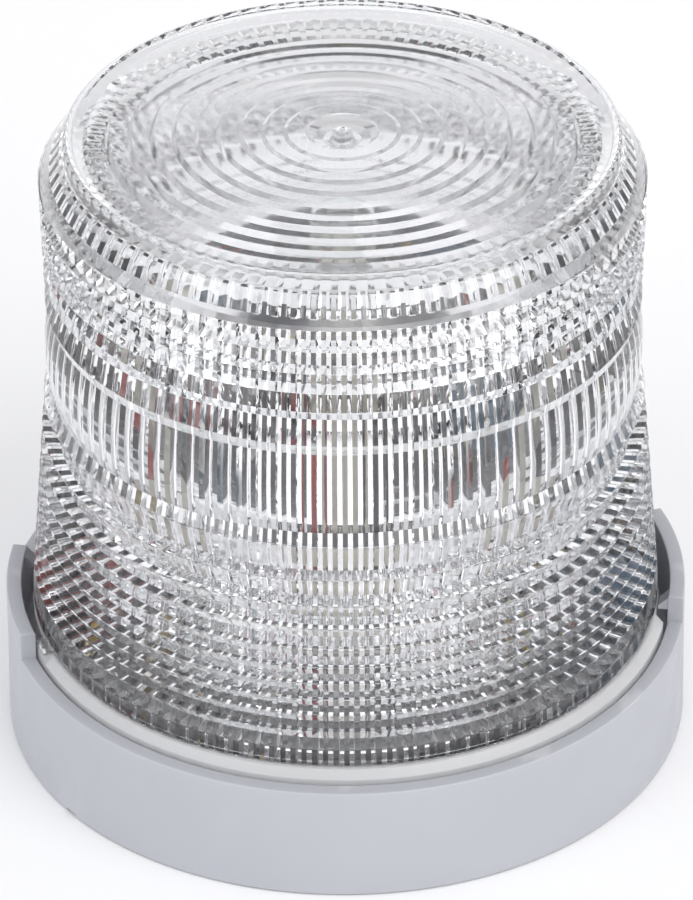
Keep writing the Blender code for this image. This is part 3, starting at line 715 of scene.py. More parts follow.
def station_angles():
    """Stations round the lens, with pairs drawn together where a notch or lug begins or ends."""
    step = 360.0 / LENS_STATIONS
    angles = [step * k for k in range(LENS_STATIONS)]
    for turn in (0.0, 180.0):
        for edge in (*NOTCH_SPAN, *LUG_SPAN):
            at = (edge + turn) % 360.0
            before = int(at // step)
            angles[before % LENS_STATIONS] = at - 0.04
            angles[(before + 1) % LENS_STATIONS] = at + 0.04
    return angles


def within(angle, span):
    """Whether an angle lies in a span or in the one half a turn from it."""
    return any((angle - turn - span[0]) % 360.0 < span[1] - span[0] for turn in (0.0, 180.0))


def lens_outline_at(outline, angle):
    """The outer outline at one station: cut back in a gap, raised to a square lug in a lug's span."""
    if within(angle, NOTCH_SPAN):
        return [(min(r, NOTCH_RADIUS) if z < SKIRT_Z - 0.2 else r, z) for r, z in outline]
    if within(angle, LUG_SPAN):
        raised = []
        for r, z in outline:
            if FLANGE_EDGE_Z - 0.5 < z < FLANGE_TOP_Z - 0.2:
                raised.append((LUG_RADIUS, LUG_Z - 0.2 - 0.1 * (FLANGE_TOP_Z - z)))
            elif FLANGE_EDGE_Z < z < SKIRT_Z - 0.2:
                raised.append((LUG_RADIUS - 0.2 - 0.4 * (FLANGE_RADIUS - r), LUG_Z))
            else:
                raised.append((r, z))
        return raised
    return outline


def crease_rings(piece, limit):
    """Sharpen each edge that runs round the axis where the outline turns by more than the limit."""
    mesh = bmesh.new()
    mesh.from_mesh(piece.data)
    for edge in mesh.edges:
        start, end = edge.verts
        level = abs(start.co.z - end.co.z) < 0.001 * MM
        if level and len(edge.link_faces) == 2 and edge.calc_face_angle() > math.radians(limit):
            edge.smooth = False
    mesh.to_mesh(piece.data)
    mesh.free()


def make_lens():
    """One closed shell: the outer outline round the stations, and the fluted wall inside it."""
    outline = flange() + prisms(LOWER_PRISMS, LOWER_TIPS, DRUM_FOOT_Z, -1)[::-1] + drum()[1:-1]
    outline += prisms(UPPER_PRISMS, UPPER_TIPS, DRUM_TOP_Z, 1) + crown()
    mesh = bmesh.new()
    columns = []
    for angle in station_angles():
        points = lens_outline_at(outline[:-1], angle)
        columns.append([mesh.verts.new(polar(r, angle, z)) for r, z in points])
    for here, there in zip(columns, columns[1:] + columns[:1]):
        bridge(mesh, here, there, closed=False)
    top = mesh.verts.new((0.0, 0.0, outline[-1][1]))
    for here, there in zip(columns, columns[1:] + columns[:1]):
        mesh.faces.new((here[-1], there[-1], top))

    count = FLUTES * FLUTE_STEPS
    rows = []
    for radius, z, fluting in inner_wall():
        ring = []
        for k in range(count):
            swing = FLUTE_CLIP * math.cos(2 * math.pi * k / FLUTE_STEPS) + 0.05
            wave = 0.5 - 0.5 * max(-1.0, min(1.0, swing))
            ring.append(mesh.verts.new(polar(radius - FLUTE_DEPTH * fluting * wave, 360.0 * k / count, z)))
        rows.append(ring)
    for first, second in zip(rows, rows[1:]):
        bridge(mesh, first, second)
    under = mesh.verts.new((0.0, 0.0, inner_wall()[-1][1] + 0.3))
    for k in range(count):
        mesh.faces.new((rows[-1][k], under, rows[-1][(k + 1) % count]))

    share = count // LENS_STATIONS
    for k in range(LENS_STATIONS):
        after = (k + 1) % LENS_STATIONS
        inner = [rows[0][(k * share + n) % count] for n in range(share + 1)]
        mesh.faces.new([columns[after][0], columns[k][0], *inner])
    lens = place("lens_moulding", mesh, finishes["clear_polycarbonate"], LENS_SMOOTH_ANGLE)
    crease_rings(lens, RING_CREASE)
    return show(lens, "lens", "clear_polycarbonate", "lens")


# --- Base ---


def base_stations():
    """Angles and tab heights round the base: closer together where a tab's end is rounded over."""
    round_over = 0.3
    made = [(2.0 * k, TAB_Z if within(2.0 * k, TAB_SPAN) else RIM_Z) for k in range(180)]
    per_mm = 360.0 / (2 * math.pi * WALL_TOP_RADIUS)
    for turn in (0.0, 180.0):
        for edge, way in ((TAB_SPAN[0], 1.0), (TAB_SPAN[1], -1.0)):
            at = edge + turn
            made = [s for s in made if abs((s[0] - at + 180.0) % 360.0 - 180.0) > 0.6]
            made.append((at - way * 0.01, RIM_Z))
            for k in range(5):
                turn_over = math.radians(90.0 * k / 4)
                inward = round_over * (1 - math.cos(turn_over)) * per_mm
                made.append((at + way * (inward + 0.01), TAB_Z - round_over * (1 - math.sin(turn_over))))
        for edge in HOOK_SPAN:
            made.append((edge + turn, TAB_Z))
            made.append((edge + turn + 0.06, TAB_Z))
    return sorted({(round(a % 360.0, 4), round(z, 4)) for a, z in made})


def base_outline_at(angle, top):
    """The base's section at one angle: underside, wall, rim or tab, hook, seat and floor."""
    edge = 0.3
    points = [(CABLE_HOLE_RADIUS, 0.0), (48.0, 0.0), (48.0, 1.5), (54.0, 1.5), (54.0, 0.0)]
    points += [(60.6, 0.0), (60.6, 11.0), (63.8, 11.0), (63.8, 0.0)]
    points += arc((WALL_FOOT_RADIUS - 0.5, 0.5), 0.5, -90.0, 0.0, 4)
    points += [(WALL_TOP_RADIUS + 0.03, RIM_Z - 3.0)]
    points += arc((WALL_TOP_RADIUS - edge, top - edge), edge, 0.0, 90.0, 3)
    points += arc((RIM_INNER_RADIUS + edge, top - edge), edge, 90.0, 180.0, 3)
    if within(angle, HOOK_SPAN) and top > TAB_Z - 0.1:
        tip_radius, tip_z = HOOK_TIP
        points += [(RIM_INNER_RADIUS - 0.1, top - 0.5), (tip_radius + 0.1, tip_z + 0.15)]
        points += [(tip_radius, tip_z), (tip_radius, HOOK_UNDERSIDE_Z + 0.1)]
        points += [(tip_radius + 0.1, HOOK_UNDERSIDE_Z), (RIM_INNER_RADIUS, HOOK_UNDERSIDE_Z)]
    else:
        points += [(RIM_INNER_RADIUS, top - 0.5 - 0.01 * k) for k in range(6)]
    points += [(RIM_INNER_RADIUS, SEAT_Z + 0.3), (RIM_INNER_RADIUS - 0.3, SEAT_Z)]
    points += [(BASE_INNER_RADIUS + 0.3, SEAT_Z), (BASE_INNER_RADIUS, SEAT_Z - 0.3)]
    points += arc((BASE_INNER_RADIUS - 1.5, FLOOR_Z + 1.5), 1.5, 0.0, -90.0, 4)
    points.append((CABLE_HOLE_RADIUS, FLOOR_Z))
    return points


def base_cutters():
    """Mounting holes, board screw holes, sound slots and the weep slot."""
    mesh = bmesh.new()
    for angle in MOUNT_HOLE_ANGLES:
        peg(MOUNT_HOLE_RADIUS, polar(MOUNT_HOLE_SPACING / 2, angle, -1.0), FLOOR_Z + 2.0, 32, mesh)
    for angle in BOARD_SCREW_ANGLES:
        peg(SCREW_HOLE_RADIUS, polar(BOARD_SCREW_RADIUS, angle, FLOOR_Z + 1.0), 12.0, 24, mesh)
    middle = (WALL_FOOT_RADIUS + BASE_INNER_RADIUS) / 2
    for angle in SOUND_SLOT_ANGLES:
        block((12.0, 2.2, 6.0), polar(middle, angle, 8.5), angle, 0.5, mesh)
    block((4.0, 3.0, 1.6), polar(WALL_FOOT_RADIUS, WEEP_SLOT_ANGLE), WEEP_SLOT_ANGLE, 0.0, mesh)
    return mesh


def base_bosses():
    """Slightly tapered posts under the board, for its screws."""
    mesh = bmesh.new()
    for angle in BOARD_SCREW_ANGLES:
        peg(3.6, polar(BOARD_SCREW_RADIUS, angle, FLOOR_Z - 1.0), 9.7, 40, mesh, 0.96)
    return mesh


def make_base():
    """The housing: its section round the stations, then bosses joined on and holes cut."""
    mesh = bmesh.new()
    columns = []
    for angle, top in base_stations():
        columns.append([mesh.verts.new(polar(r, angle, z)) for r, z in base_outline_at(angle, top)])
    for here, there in zip(columns, columns[1:] + columns[:1]):
        bridge(mesh, here, there)
    bmesh.ops.remove_doubles(mesh, verts=mesh.verts, dist=0.0005)
    base = place("housing_moulding", mesh, finishes["grey_plastic"])
    cut(base, base_bosses(), "UNION")
    cut(base, base_cutters())
    return show(base, "base", "grey_plastic", "base_housing")


# --- Seals and gland ---


def make_seals():
    """The lens's seal, the foam pad under the base and the cable gland."""
    low, high = SEAT_Z + 0.3, FLANGE_FOOT_Z - 0.3
    middle = (low + high) / 2
    lips = [(59.0, low), (59.5, low + 0.15), (60.4, low + 0.15), (60.8, low), (60.9, middle), (60.8, high)]
    lips += [(60.4, high - 0.15), (59.5, high - 0.15), (59.0, high), (58.9, middle)]
    add("silicone_seal", turned(lips, 240), "white_silicone", "lens_gasket", body="lens_seal")
    pad = [(48.3, 0.1), (48.4, 0.0), (53.6, 0.0), (53.7, 0.1)]
    pad += [(radius, 1.2 - z) for radius, z in reversed(pad)]
    add("foam_pad", turned(pad, 200), "grey_foam", "mounting_gasket")
    gland = [(4.6, 0.5), (5.0, 0.4), (10.5, 0.4), (10.8, 0.7), (10.8, 3.3), (13.0, 3.3), (13.2, 3.5)]
    gland += arc((12.4, 4.8), 0.8, 0.0, 90.0, 4) + [(9.6, 5.6), (9.2, 5.2), (8.4, 5.2), (8.0, 5.6)]
    gland += [(5.6, 5.6), (5.0, 5.3), (4.5, 4.6)]
    add("cable_gland", turned(gland, 96), "black_rubber", "cable_grommet")


# --- Circuit board ---


def make_board():
    """Round board with screw holes, and holes wide enough to reach the mounting screws."""
    bottom, edge = BOARD_BOTTOM_Z, BOARD_RADIUS - 0.2
    outline = [(0.0, bottom), (edge, bottom), (BOARD_RADIUS, bottom + 0.2)]
    outline += [(BOARD_RADIUS, BOARD_TOP_Z - 0.2), (edge, BOARD_TOP_Z), (0.0, BOARD_TOP_Z)]
    holes = bmesh.new()
    for angle in BOARD_SCREW_ANGLES:
        peg(SCREW_HOLE_RADIUS, polar(BOARD_SCREW_RADIUS, angle, bottom - 2.0), 6.0, 48, holes)
    for angle in MOUNT_HOLE_ANGLES:
        peg(ACCESS_HOLE_RADIUS, polar(MOUNT_HOLE_SPACING / 2, angle, bottom - 2.0), 6.0, 48, holes)
    add_cut("printed_board", turned(outline, 160), holes, "board_laminate", "circuit_board")


def make_tracks():
    """Raised copper under the lacquer: each track runs out along X, then at a slant, then along Y."""
    width, thickness = 0.9, 0.12
    mesh = bmesh.new()
    for here, there in zip(PART_LEGS, PART_LEGS[1:]):
        start, end = Vector(here), Vector(there)
        span = end - start
        slant = min(abs(span.x), abs(span.y)) * 0.8
        first = start + Vector((math.copysign(abs(span.x) - slant, span.x), 0.0))
        second = first + Vector((math.copysign(slant, span.x), math.copysign(slant, span.y)))
        if max(start.length, end.length, first.length, second.length) > BOARD_RADIUS - 3.0:
            continue
        for a, b in ((start, first), (first, second), (second, end)):
            run = b - a
            if run.length > 0.4:
                middle = (a + b) / 2
                size = (run.length + width, width, thickness)
                turn = math.degrees(math.atan2(run.y, run.x))
                block(size, (middle.x, middle.y, BOARD_TOP_Z), turn, 0.04, mesh, 1)
    add("board_tracks", mesh, "board_laminate")


def make_solder():
    """A fillet of solder round each leg."""
    mesh = bmesh.new()
    fillet = [(0.0, 13.55), (1.15, 13.55), (1.1, 13.7), (0.75, 13.85)]
    fillet += [(0.5, 14.2), (0.38, 14.5), (0.0, 14.55)]
    for x, y in PART_LEGS:
        turned(fillet, 20, (x, y), False, mesh)
    add("solder_joints", mesh, "plated_steel")


def make_print():
    """Plain outlines printed round the parts, with three ticks beside each."""
    mesh = bmesh.new()
    width, thickness = 0.22, 0.04
    z = BOARD_TOP_Z + 0.01
    for node in PRINTED_NODES:
        centre, size = centre_of(node), size_of(node)
        x, y = size.x / 2 + 0.9, size.y / 2 + 0.9
        for dx, dy, along in ((0, y, x), (0, -y, x), (x, 0, y), (-x, 0, y)):
            shape = (2 * along, width, thickness) if dx == 0 else (width, 2 * along, thickness)
            block(shape, (centre.x + dx, centre.y + dy, z), 0.0, 0.0, mesh)
        for k in range(3):
            tick = (centre.x - x - 1.0, centre.y - y + 1.2 * k, z)
            block((0.8, width, thickness), tick, 0.0, 0.0, mesh)
    add("board_print", mesh, "black_plastic")


def make_resistors():
    """Axial resistors with waisted bodies, bent leads and colour bands."""
    bodies, leads = bmesh.new(), bmesh.new()
    bands = {"red_epoxy": bmesh.new(), "yellow_tape": bmesh.new(), "black_plastic": bmesh.new()}
    profile = [(0.0, -3.2), (0.7, -3.2), (1.15, -2.9), (1.2, -2.2), (0.95, -1.7)]
    profile += [(radius, -z) for radius, z in reversed(profile)]
    band_places = ((-2.5, "red_epoxy"), (-1.1, "black_plastic"), (0.0, "yellow_tape"), (1.1, "red_epoxy"))
    for x, y, turn in RESISTORS:
        spot = Matrix.Translation((x, y, BOARD_TOP_Z + 1.35)) @ rotation(turn) @ rotation(90.0, "Y")
        made = turned(profile, 24, closed=False)
        made.transform(spot)
        join(bodies, made)
        for offset, slot in band_places:
            radius = 1.24 if abs(offset) > 2 else 0.99
            corners = ((-0.1, -0.25), (0.0, -0.25), (0.0, 0.25), (-0.1, 0.25))
            ring = turned([(radius + out, offset + along) for out, along in corners], 24)
            ring.transform(spot)
            join(bands[slot], ring)
        for side in SIDES:
            along = polar(side, turn)
            route = [(3.0, 1.35), (4.2, 1.35), (4.75, 1.15), (4.95, 0.6), (5.0, -0.2)]
            points = [Vector((x, y, BOARD_TOP_Z + height)) + along * out for out, height in route]
            swept(points, 0.28, 10, leads)
    add("resistor_bodies", bodies, "cream_ceramic")
    add("resistor_leads", leads, "plated_steel")
    for slot, mesh in bands.items():
        add(f"resistor_bands_{slot}", mesh, slot)


def make_disc_capacitors():
    """Small flat discs standing on edge, thicker in the middle."""
    mesh, wires = bmesh.new(), bmesh.new()
    lens_shape = [(0.0, -1.3), (1.6, -1.25), (2.9, -0.8), (3.3, 0.0), (2.9, 0.8), (1.6, 1.25), (0.0, 1.3)]
    for x, y, turn in DISC_CAPACITORS:
        made = turned(lens_shape, 32, closed=False)
        join(mesh, laid(made, (x, y, BOARD_TOP_Z + 4.4), turn))
        for side in SIDES:
            foot = Vector((x, y, 0.0)) + polar(2.5 * side, turn)
            swept([(foot.x, foot.y, z) for z in (13.5, 14.6, 16.4)], 0.3, 10, wires)
    add("disc_capacitors", mesh, "yellow_tape")
    add("disc_capacitor_legs", wires, "plated_steel")


def make_screws():
    """Board screws and their washers."""
    washer = [(1.6, 13.62), (3.6, 13.62), (3.7, 13.7), (3.6, 13.85), (1.6, 13.85)]
    for number, angle in enumerate(BOARD_SCREW_ANGLES, 1):
        add_refined(f"board_screw_{number}", f"pan_screw_{number}", "plated_steel", 0.18)
        add(f"washer_{number}", turned(washer, 40, polar(BOARD_SCREW_RADIUS, angle).xy), "plated_steel")


# --- Parts on the board ---


def laid(mesh, centre, turn=0.0):
    """Lay a shape turned about Z down along Y, and move it to its centre."""
    mesh.transform(Matrix.Translation(centre) @ rotation(turn) @ rotation(90.0, "X"))
    return mesh


def legs(name, places, top):
    """Straight wire legs from the board up into a part."""
    mesh = bmesh.new()
    for x, y in places:
        swept([(x, y, LEG_FOOT_Z), (x, y, LEG_FOOT_Z + 0.8), (x, y, top)], 0.35, 10, mesh)
    add(name, mesh, "plated_steel")


def make_storage_capacitor():
    """Aluminium can in a shrunk sleeve that rolls over its ends, with a rubber bung at the leads."""
    centre = centre_of("storage_capacitor")
    r, h = 11.0, 18.0
    lip = [(8.9, 0.9), (8.9, 0.5), (9.3, 0.1), (10.3, 0.0), (10.8, 0.3), (r, 1.0)]
    groove = [(r, -14.0), (10.5, -13.5), (10.15, -13.0), (10.5, -12.5), (r, -12.0)]
    sleeve = lifted(lip[1:], -h) + groove + [(radius, h - z) for radius, z in reversed(lip)]
    sleeve += [(10.0, h - 0.9), (10.0, -h + 0.9), (8.9, -h + 0.9)]
    add("capacitor_sleeve", laid(turned(sleeve, 96), centre), "blue_sleeve", "storage_capacitor")
    end = lifted([(0.0, -0.75), (9.2, -0.75), (9.2, -0.45), (0.0, -0.45)], h)
    add("capacitor_can_end", laid(turned(end, 64, closed=False), centre), "aluminium")
    # Dark bars on the can's end: painted shade in its vent scores.
    vent = bmesh.new()
    for turn in (0.0, 60.0, 120.0):
        bar = block((11.0, 0.5, 0.2), (0.0, 0.0, 0.0), turn, 0.05, None, 1)
        join(vent, laid(bar, centre - Vector((0.0, h - 0.45, 0.0))))
    add("capacitor_vent_score_shade", vent, "ferrite")
    bung = lifted([(0.0, 0.45), (7.0, 0.45), (8.6, 0.6), (9.2, 0.8), (9.2, 1.2), (0.0, 1.2)], -h)
    add("capacitor_bung", laid(turned(bung, 64, closed=False), centre), "black_rubber")
    stripe = bmesh.new()
    rows = []
    for k in range(9):
        turn = math.radians(150.0 + 30.0 * k / 8)
        across = Vector((math.cos(turn), 0.0, math.sin(turn))) * (r + 0.03)
        rows.append([stripe.verts.new(centre + across + Vector((0.0, y, 0.0))) for y in (-16.5, 12.0)])
    for a, b in zip(rows, rows[1:]):
        stripe.faces.new((a[0], a[1], b[1], b[0]))
    add("capacitor_stripe", stripe, "white_plastic")
    wires = bmesh.new()
    for side in SIDES:
        x, y, z = centre.x + 3.8 * side, centre.y + h - 0.6, centre.z
        knots = [(x, y, z), (x, y + 2.0, z), (x, y + 3.0, z - 1.5), (x, y + 3.2, z - 6.0)]
        knots.append((x, y + 3.2, LEG_FOOT_Z))
        swept(smooth_route(knots, 5), 0.4, 12, wires)
    add("capacitor_leads", wires, "plated_steel")


def dipped(node, name, slot, round_by, feet):
    """A box-shaped part with rounded, slightly swollen faces, standing on wire legs."""
    centre, size = centre_of(node), size_of(node)
    mesh = bmesh.new()
    bmesh.ops.create_cube(mesh, size=1.0)
    bmesh.ops.subdivide_edges(mesh, edges=list(mesh.edges), cuts=9, use_grid_fill=True)
    for vert in mesh.verts:
        share = Vector(vert.co) * 2
        core = Vector(c * (s / 2 - round_by) for c, s in zip(share, size))
        swell = 1 - 0.5 * share.length_squared / 3
        direction = Vector(c**5 for c in share).normalized()
        vert.co = centre + core * (0.97 + 0.03 * swell) + direction * round_by
    add(name, mesh, slot, node, smooth_angle=60.0)
    legs(name + "_legs", feet, 15.4)


def make_trigger_coil():
    """Upright bobbin with eight swollen layers of winding."""
    centre, size = centre_of("trigger_transformer"), size_of("trigger_transformer")
    x, y, middle = centre
    low, top = middle - size.z / 2, middle + size.z / 2
    bobbin = block((size.x, size.y, 1.2), (x, y, low + 0.6), 0.0, 0.4)
    block((size.x, size.y, 1.0), (x, y, top - 0.5), 0.0, 0.4, bobbin)
    rod(2.2, (x, y, low), (x, y, top), 32, bobbin)
    add("trigger_bobbin", bobbin, "black_plastic")
    winding = [(2.2, low + 1.2), (4.5, low + 1.2)]
    for k in range(8):
        z = low + 1.5 + 1.15 * k
        winding += [(4.55, z), (4.7, z + 0.5), (4.55, z + 1.0)]
    winding += [(4.5, top - 1.0), (2.2, top - 1.0)]
    add("trigger_winding", turned(winding, 56, (x, y)), "yellow_tape", "trigger_transformer")


def make_inverter_transformer():
    """Ferrite frame round a taped winding on a black bobbin."""
    add_refined("transformer_core", "ferrite_frame", "ferrite", 0.45, 3)
    centre, size = centre_of("transformer_winding"), size_of("transformer_winding")
    wraps = bmesh.new()
    layers = 6
    for k in range(layers):
        z = centre.z - size.z / 2 + size.z * (k + 0.5) / layers
        grow = 0.25 * math.sin(math.pi * (k + 0.5) / layers)
        layer = (size.x - 0.7 + grow, size.y - 1.2 + grow, size.z / layers + 0.15)
        block(layer, (centre.x, centre.y, z), 0.0, 0.35, wraps)
    add("transformer_tape", wraps, "yellow_tape", "transformer_winding")
    bobbin = bmesh.new()
    for side in SIDES:
        z = centre.z + side * (size.z / 2 - 0.35)
        block((size.x, size.y, 0.7), (centre.x, centre.y, z), 0.0, 0.2, bobbin)
        block((size.x + 3.0, 2.4, 3.6), (centre.x, centre.y + 7.6 * side, 15.6), 0.0, 0.3, bobbin)
    add("transformer_bobbin", bobbin, "black_plastic")


def make_flasher_chip():
    """Eight-pin chip with a dimple at one end, turned a little on the board."""
    centre = centre_of("flasher_chip")
    turn = 15.0
    body = block((9.6, 6.4, 3.3), centre, turn, 0.35)
    dimple = peg(0.9, centre + polar(4.8, turn, 1.2), 1.8, 24)
    add_cut("chip_body", body, dimple, "black_plastic", "flasher_chip")
    pins = bmesh.new()
    spot = Matrix.Translation((centre.x, centre.y, 0.0)) @ rotation(turn)
    for side in SIDES:
        for k in range(4):
            x = PIN_PITCH * (k - 1.5)
            shoulder = block((1.3, 0.9, 0.28), (x, side * 3.5, 15.6), 0.0, 0.05, None, 1)
            block((1.3, 0.28, 1.3), (x, side * 3.85, 15.0), 0.0, 0.05, shoulder, 1)
            block((0.5, 0.28, 1.8), (x, side * 3.85, 14.2), 0.0, 0.05, shoulder, 1)
            shoulder.transform(spot)
            join(pins, shoulder)
    add("chip_pins", pins, "plated_steel")


def make_power_stage():
    """Finned heat sink with the power transistor screwed to it."""
    add_refined("heat_sink", "finned_sink", "aluminium", 0.3, 3)
    centre, size = centre_of("power_transistor"), size_of("power_transistor")
    x, back = centre.x, centre.y + size.y / 2
    low = centre.z - size.z / 2
    hole_z = low + 12.2
    body = block((10.0, 3.0, 9.0), (x, back - 2.8, low + 4.5), 0.0, 0.3)
    add("transistor_body", body, "black_plastic", "power_transistor")
    plate = block((10.0, 1.3, 15.0), (x, back - 0.65, low + 7.5), 0.0, 0.15)
    hole = rod(1.8, (x, back - 3.0, hole_z), (x, back + 2.0, hole_z), 32)
    add_cut("transistor_tab", plate, hole, "aluminium")
    screw = rod(2.8, (x, back - 2.6, hole_z), (x, back - 1.35, hole_z), 32, None, 1.12)
    rod(1.6, (x, back - 1.4, hole_z), (x, back + 0.3, hole_z), 24, screw)
    add("transistor_screw", screw, "plated_steel")
    pins = bmesh.new()
    for k in (-1, 0, 1):
        pin_x = x + PIN_PITCH * k
        block((1.3, 0.5, 1.4), (pin_x, back - 3.2, low - 0.4), 0.0, 0.08, pins, 1)
        block((0.8, 0.5, 2.4), (pin_x, back - 3.2, low - 1.6), 0.0, 0.08, pins, 1)
    add("transistor_pins", pins, "plated_steel")


def make_terminals():
    """Terminal block with its screws and the clamps in its mouths."""
    add_refined("terminal_block", "terminal_housing", "black_plastic", 0.3, 3)
    clamps = bmesh.new()
    for k in range(1, 5):
        add_refined(f"terminal_screw_{k}", f"clamp_screw_{k}", "plated_steel", 0.15)
        x = centre_of(f"terminal_screw_{k}").x
        block((3.7, 0.5, 3.0), (x, -43.2, 17.2), 0.0, 0.1, clamps, 1)
        block((3.7, 1.6, 0.4), (x, -44.2, 15.9), 0.0, 0.1, clamps, 1)
    add("terminal_clamps", clamps, "plated_steel")


def make_diode():
    """Axial diode with its cathode band and bent leads."""
    centre = centre_of("rectifier_diode")
    along = Vector((9.0, 4.0, 0.0)).normalized()
    turn = math.degrees(math.atan2(along.y, along.x)) - 90.0
    profile = [(0.0, -4.6), (1.9, -4.6), (2.4, -4.2), (2.5, -3.5)]
    profile += [(radius, -z) for radius, z in reversed(profile)]
    body = laid(turned(profile, 40, closed=False), centre, turn)
    add("diode_body", body, "black_plastic", "rectifier_diode")
    band = [(2.4, -3.4), (2.53, -3.4), (2.53, -2.3), (2.4, -2.3)]
    add("diode_band", laid(turned(band, 40), centre, turn), "white_plastic")
    wires = bmesh.new()
    for side in SIDES:
        route = [(4.4, 0.0), (5.6, 0.0), (6.3, -0.5), (6.5, -1.4), (6.5, -3.2)]
        swept([centre + along * out * side + up(height) for out, height in route], 0.5, 12, wires)
    add("diode_leads", wires, "plated_steel")


def make_fuse():
    """Glass fuse with a sagging wire, its caps and the spring clips that hold them."""
    centre = centre_of("fuse_tube")
    axis = polar(1.0, -45.0)
    ends = [centre - axis * 6.0, centre - axis * 3.0, centre + axis * 3.0, centre + axis * 6.0]
    add("fuse_glass", hollow_tube(ends, [2.2] * 4, [1.7] * 4, 40), "clear_glass", "fuse_tube")
    steps = 12
    sag = [centre + axis * (k - 6.0) - up(0.5 * math.sin(math.pi * k / steps)) for k in range(steps + 1)]
    add("fuse_wire", swept(sag, 0.12, 8), "plated_steel")
    for number in (1, 2):
        add_refined(f"fuse_cap_{number}", f"fuse_end_{number}", "plated_steel", 0.35, 3)
        middle = centre_of(f"fuse_cap_{number}")
        clip = bmesh.new()
        for side in SIDES:
            across = axis.cross(up(1.0)) * side
            rows = []
            for out, height in ((1.2, -3.5), (2.6, -2.4), (3.0, 0.0), (2.8, 1.6), (3.3, 2.6)):
                at = middle + across * out + up(height)
                rows.append([clip.verts.new(at + axis * w) for w in (-1.4, 1.4)])
                rows[-1] += [clip.verts.new(at + axis * w + across * 0.35) for w in (1.4, -1.4)]
            for first, second in zip(rows, rows[1:]):
                bridge(clip, first, second)
            clip.faces.new(rows[0])
            clip.faces.new(rows[-1][::-1])
        add(f"fuse_clip_{number}", clip, "brass")


# --- Flash tube ---


def make_tube_post():
    """Ceramic post with a gusset on either side of its foot."""
    post = refined("tube_post", "ceramic_post", "cream_ceramic", 0.5, 3)
    ribs = bmesh.new()
    for side in SIDES:
        corners = [(3.2, 23.5), (9.6, 23.5), (9.6, 24.6), (4.4, 38.0), (3.2, 40.0)]
        faces = [[ribs.verts.new((side * x, y, z)) for x, z in corners] for y in (-0.8, 0.8)]
        ribs.faces.new(faces[0])
        ribs.faces.new(faces[1][::-1])
        bridge(ribs, *faces)
    cut(post, ribs, "UNION")
    show(post, "base", "cream_ceramic", "tube_post")


def tube_route(steps):
    """The flash tube's middle line: up one leg, over the bend and down the other."""
    foot = POST_TOP_Z + 0.3
    bend_z = TUBE_TOP_Z - TUBE_LEG_X - TUBE_RADIUS
    leg = [foot, foot + 0.8, foot + 1.8, foot + 3.0, foot + 8.0, (foot + bend_z) / 2]
    route = [(-TUBE_LEG_X, 0.0, z) for z in leg]
    for k in range(steps + 1):
        turn = math.radians(180.0 - 180.0 * k / steps)
        route.append((TUBE_LEG_X * math.cos(turn), 0.0, bend_z + TUBE_LEG_X * math.sin(turn)))
    return route + [(TUBE_LEG_X, 0.0, z) for z in reversed(leg)]


def make_flash_tube():
    """Bent glass tube with necked ends, its electrodes and the trigger wire wound round it."""
    route = tube_route(32)
    outer = [TUBE_RADIUS] * len(route)
    inner = [TUBE_RADIUS - 0.75] * len(route)
    for near, far, wide, bore in ((0, -1, 1.7, 0.45), (1, -2, 1.9, 0.5), (2, -3, 2.35, 1.1)):
        for end in (near, far):
            outer[end] = wide
            inner[end] = bore
    add("tube_glass", hollow_tube(route, outer, inner, 48), "clear_glass", "flash_tube", smooth_angle=60.0)
    electrodes = bmesh.new()
    for side in SIDES:
        x = side * TUBE_LEG_X
        swept([(x, 0.0, POST_TOP_Z + z) for z in (-1.5, 0.2, 2.0, 3.5)], 0.32, 12, electrodes)
        profile = [(0.0, 3.4), (0.9, 3.4), (1.2, 3.7), (1.2, 7.4), (0.9, 7.8), (0.0, 7.9)]
        turned(lifted(profile, POST_TOP_Z), 28, (x, 0.0), False, electrodes)
    add("tube_electrodes", electrodes, "plated_steel")
    turns, steps, pitch, gauge = 5, 40, 4.2, 0.4
    deep = TUBE_RADIUS + 0.3 + gauge
    across = TUBE_LEG_X + deep
    points = []
    for k in range(turns * steps + 1):
        turn = 2 * math.pi * k / steps
        y = deep * math.copysign(min(1.0, abs(1.6 * math.sin(turn))), math.sin(turn))
        points.append((across * math.cos(turn), y, POST_TOP_Z + 4.0 + pitch * k / steps))
    add("trigger_winding_wire", swept(points, gauge - 0.08, 12), "plated_steel", "trigger_wire")


def make_tube_leads():
    """Sleeved leads from the board up to the tube's legs."""
    knots = [(15.5, 3.0, 14.6), (15.2, 2.6, 22.9), (9.0, 1.0, 35.9)]
    knots += [(6.2, 0.0, 46.0), (5.5, 0.0, 54.0), (5.5, 0.0, 61.0)]
    for colour, side in zip(("red", "black"), SIDES):
        name = "tube_lead_" + colour
        path = smooth_route([(side * x, y, z) for x, y, z in knots], 10)
        add(name + "_sleeve", swept(path, 1.5, 24), colour + "_sleeve", name)
        foot = Vector((side * 15.5, 3.0, LEG_FOOT_Z))
        add(name + "_core", swept([foot, foot + up(0.7), foot + up(1.5)], 0.6, 12), "plated_steel")


# --- Horn and selector ---


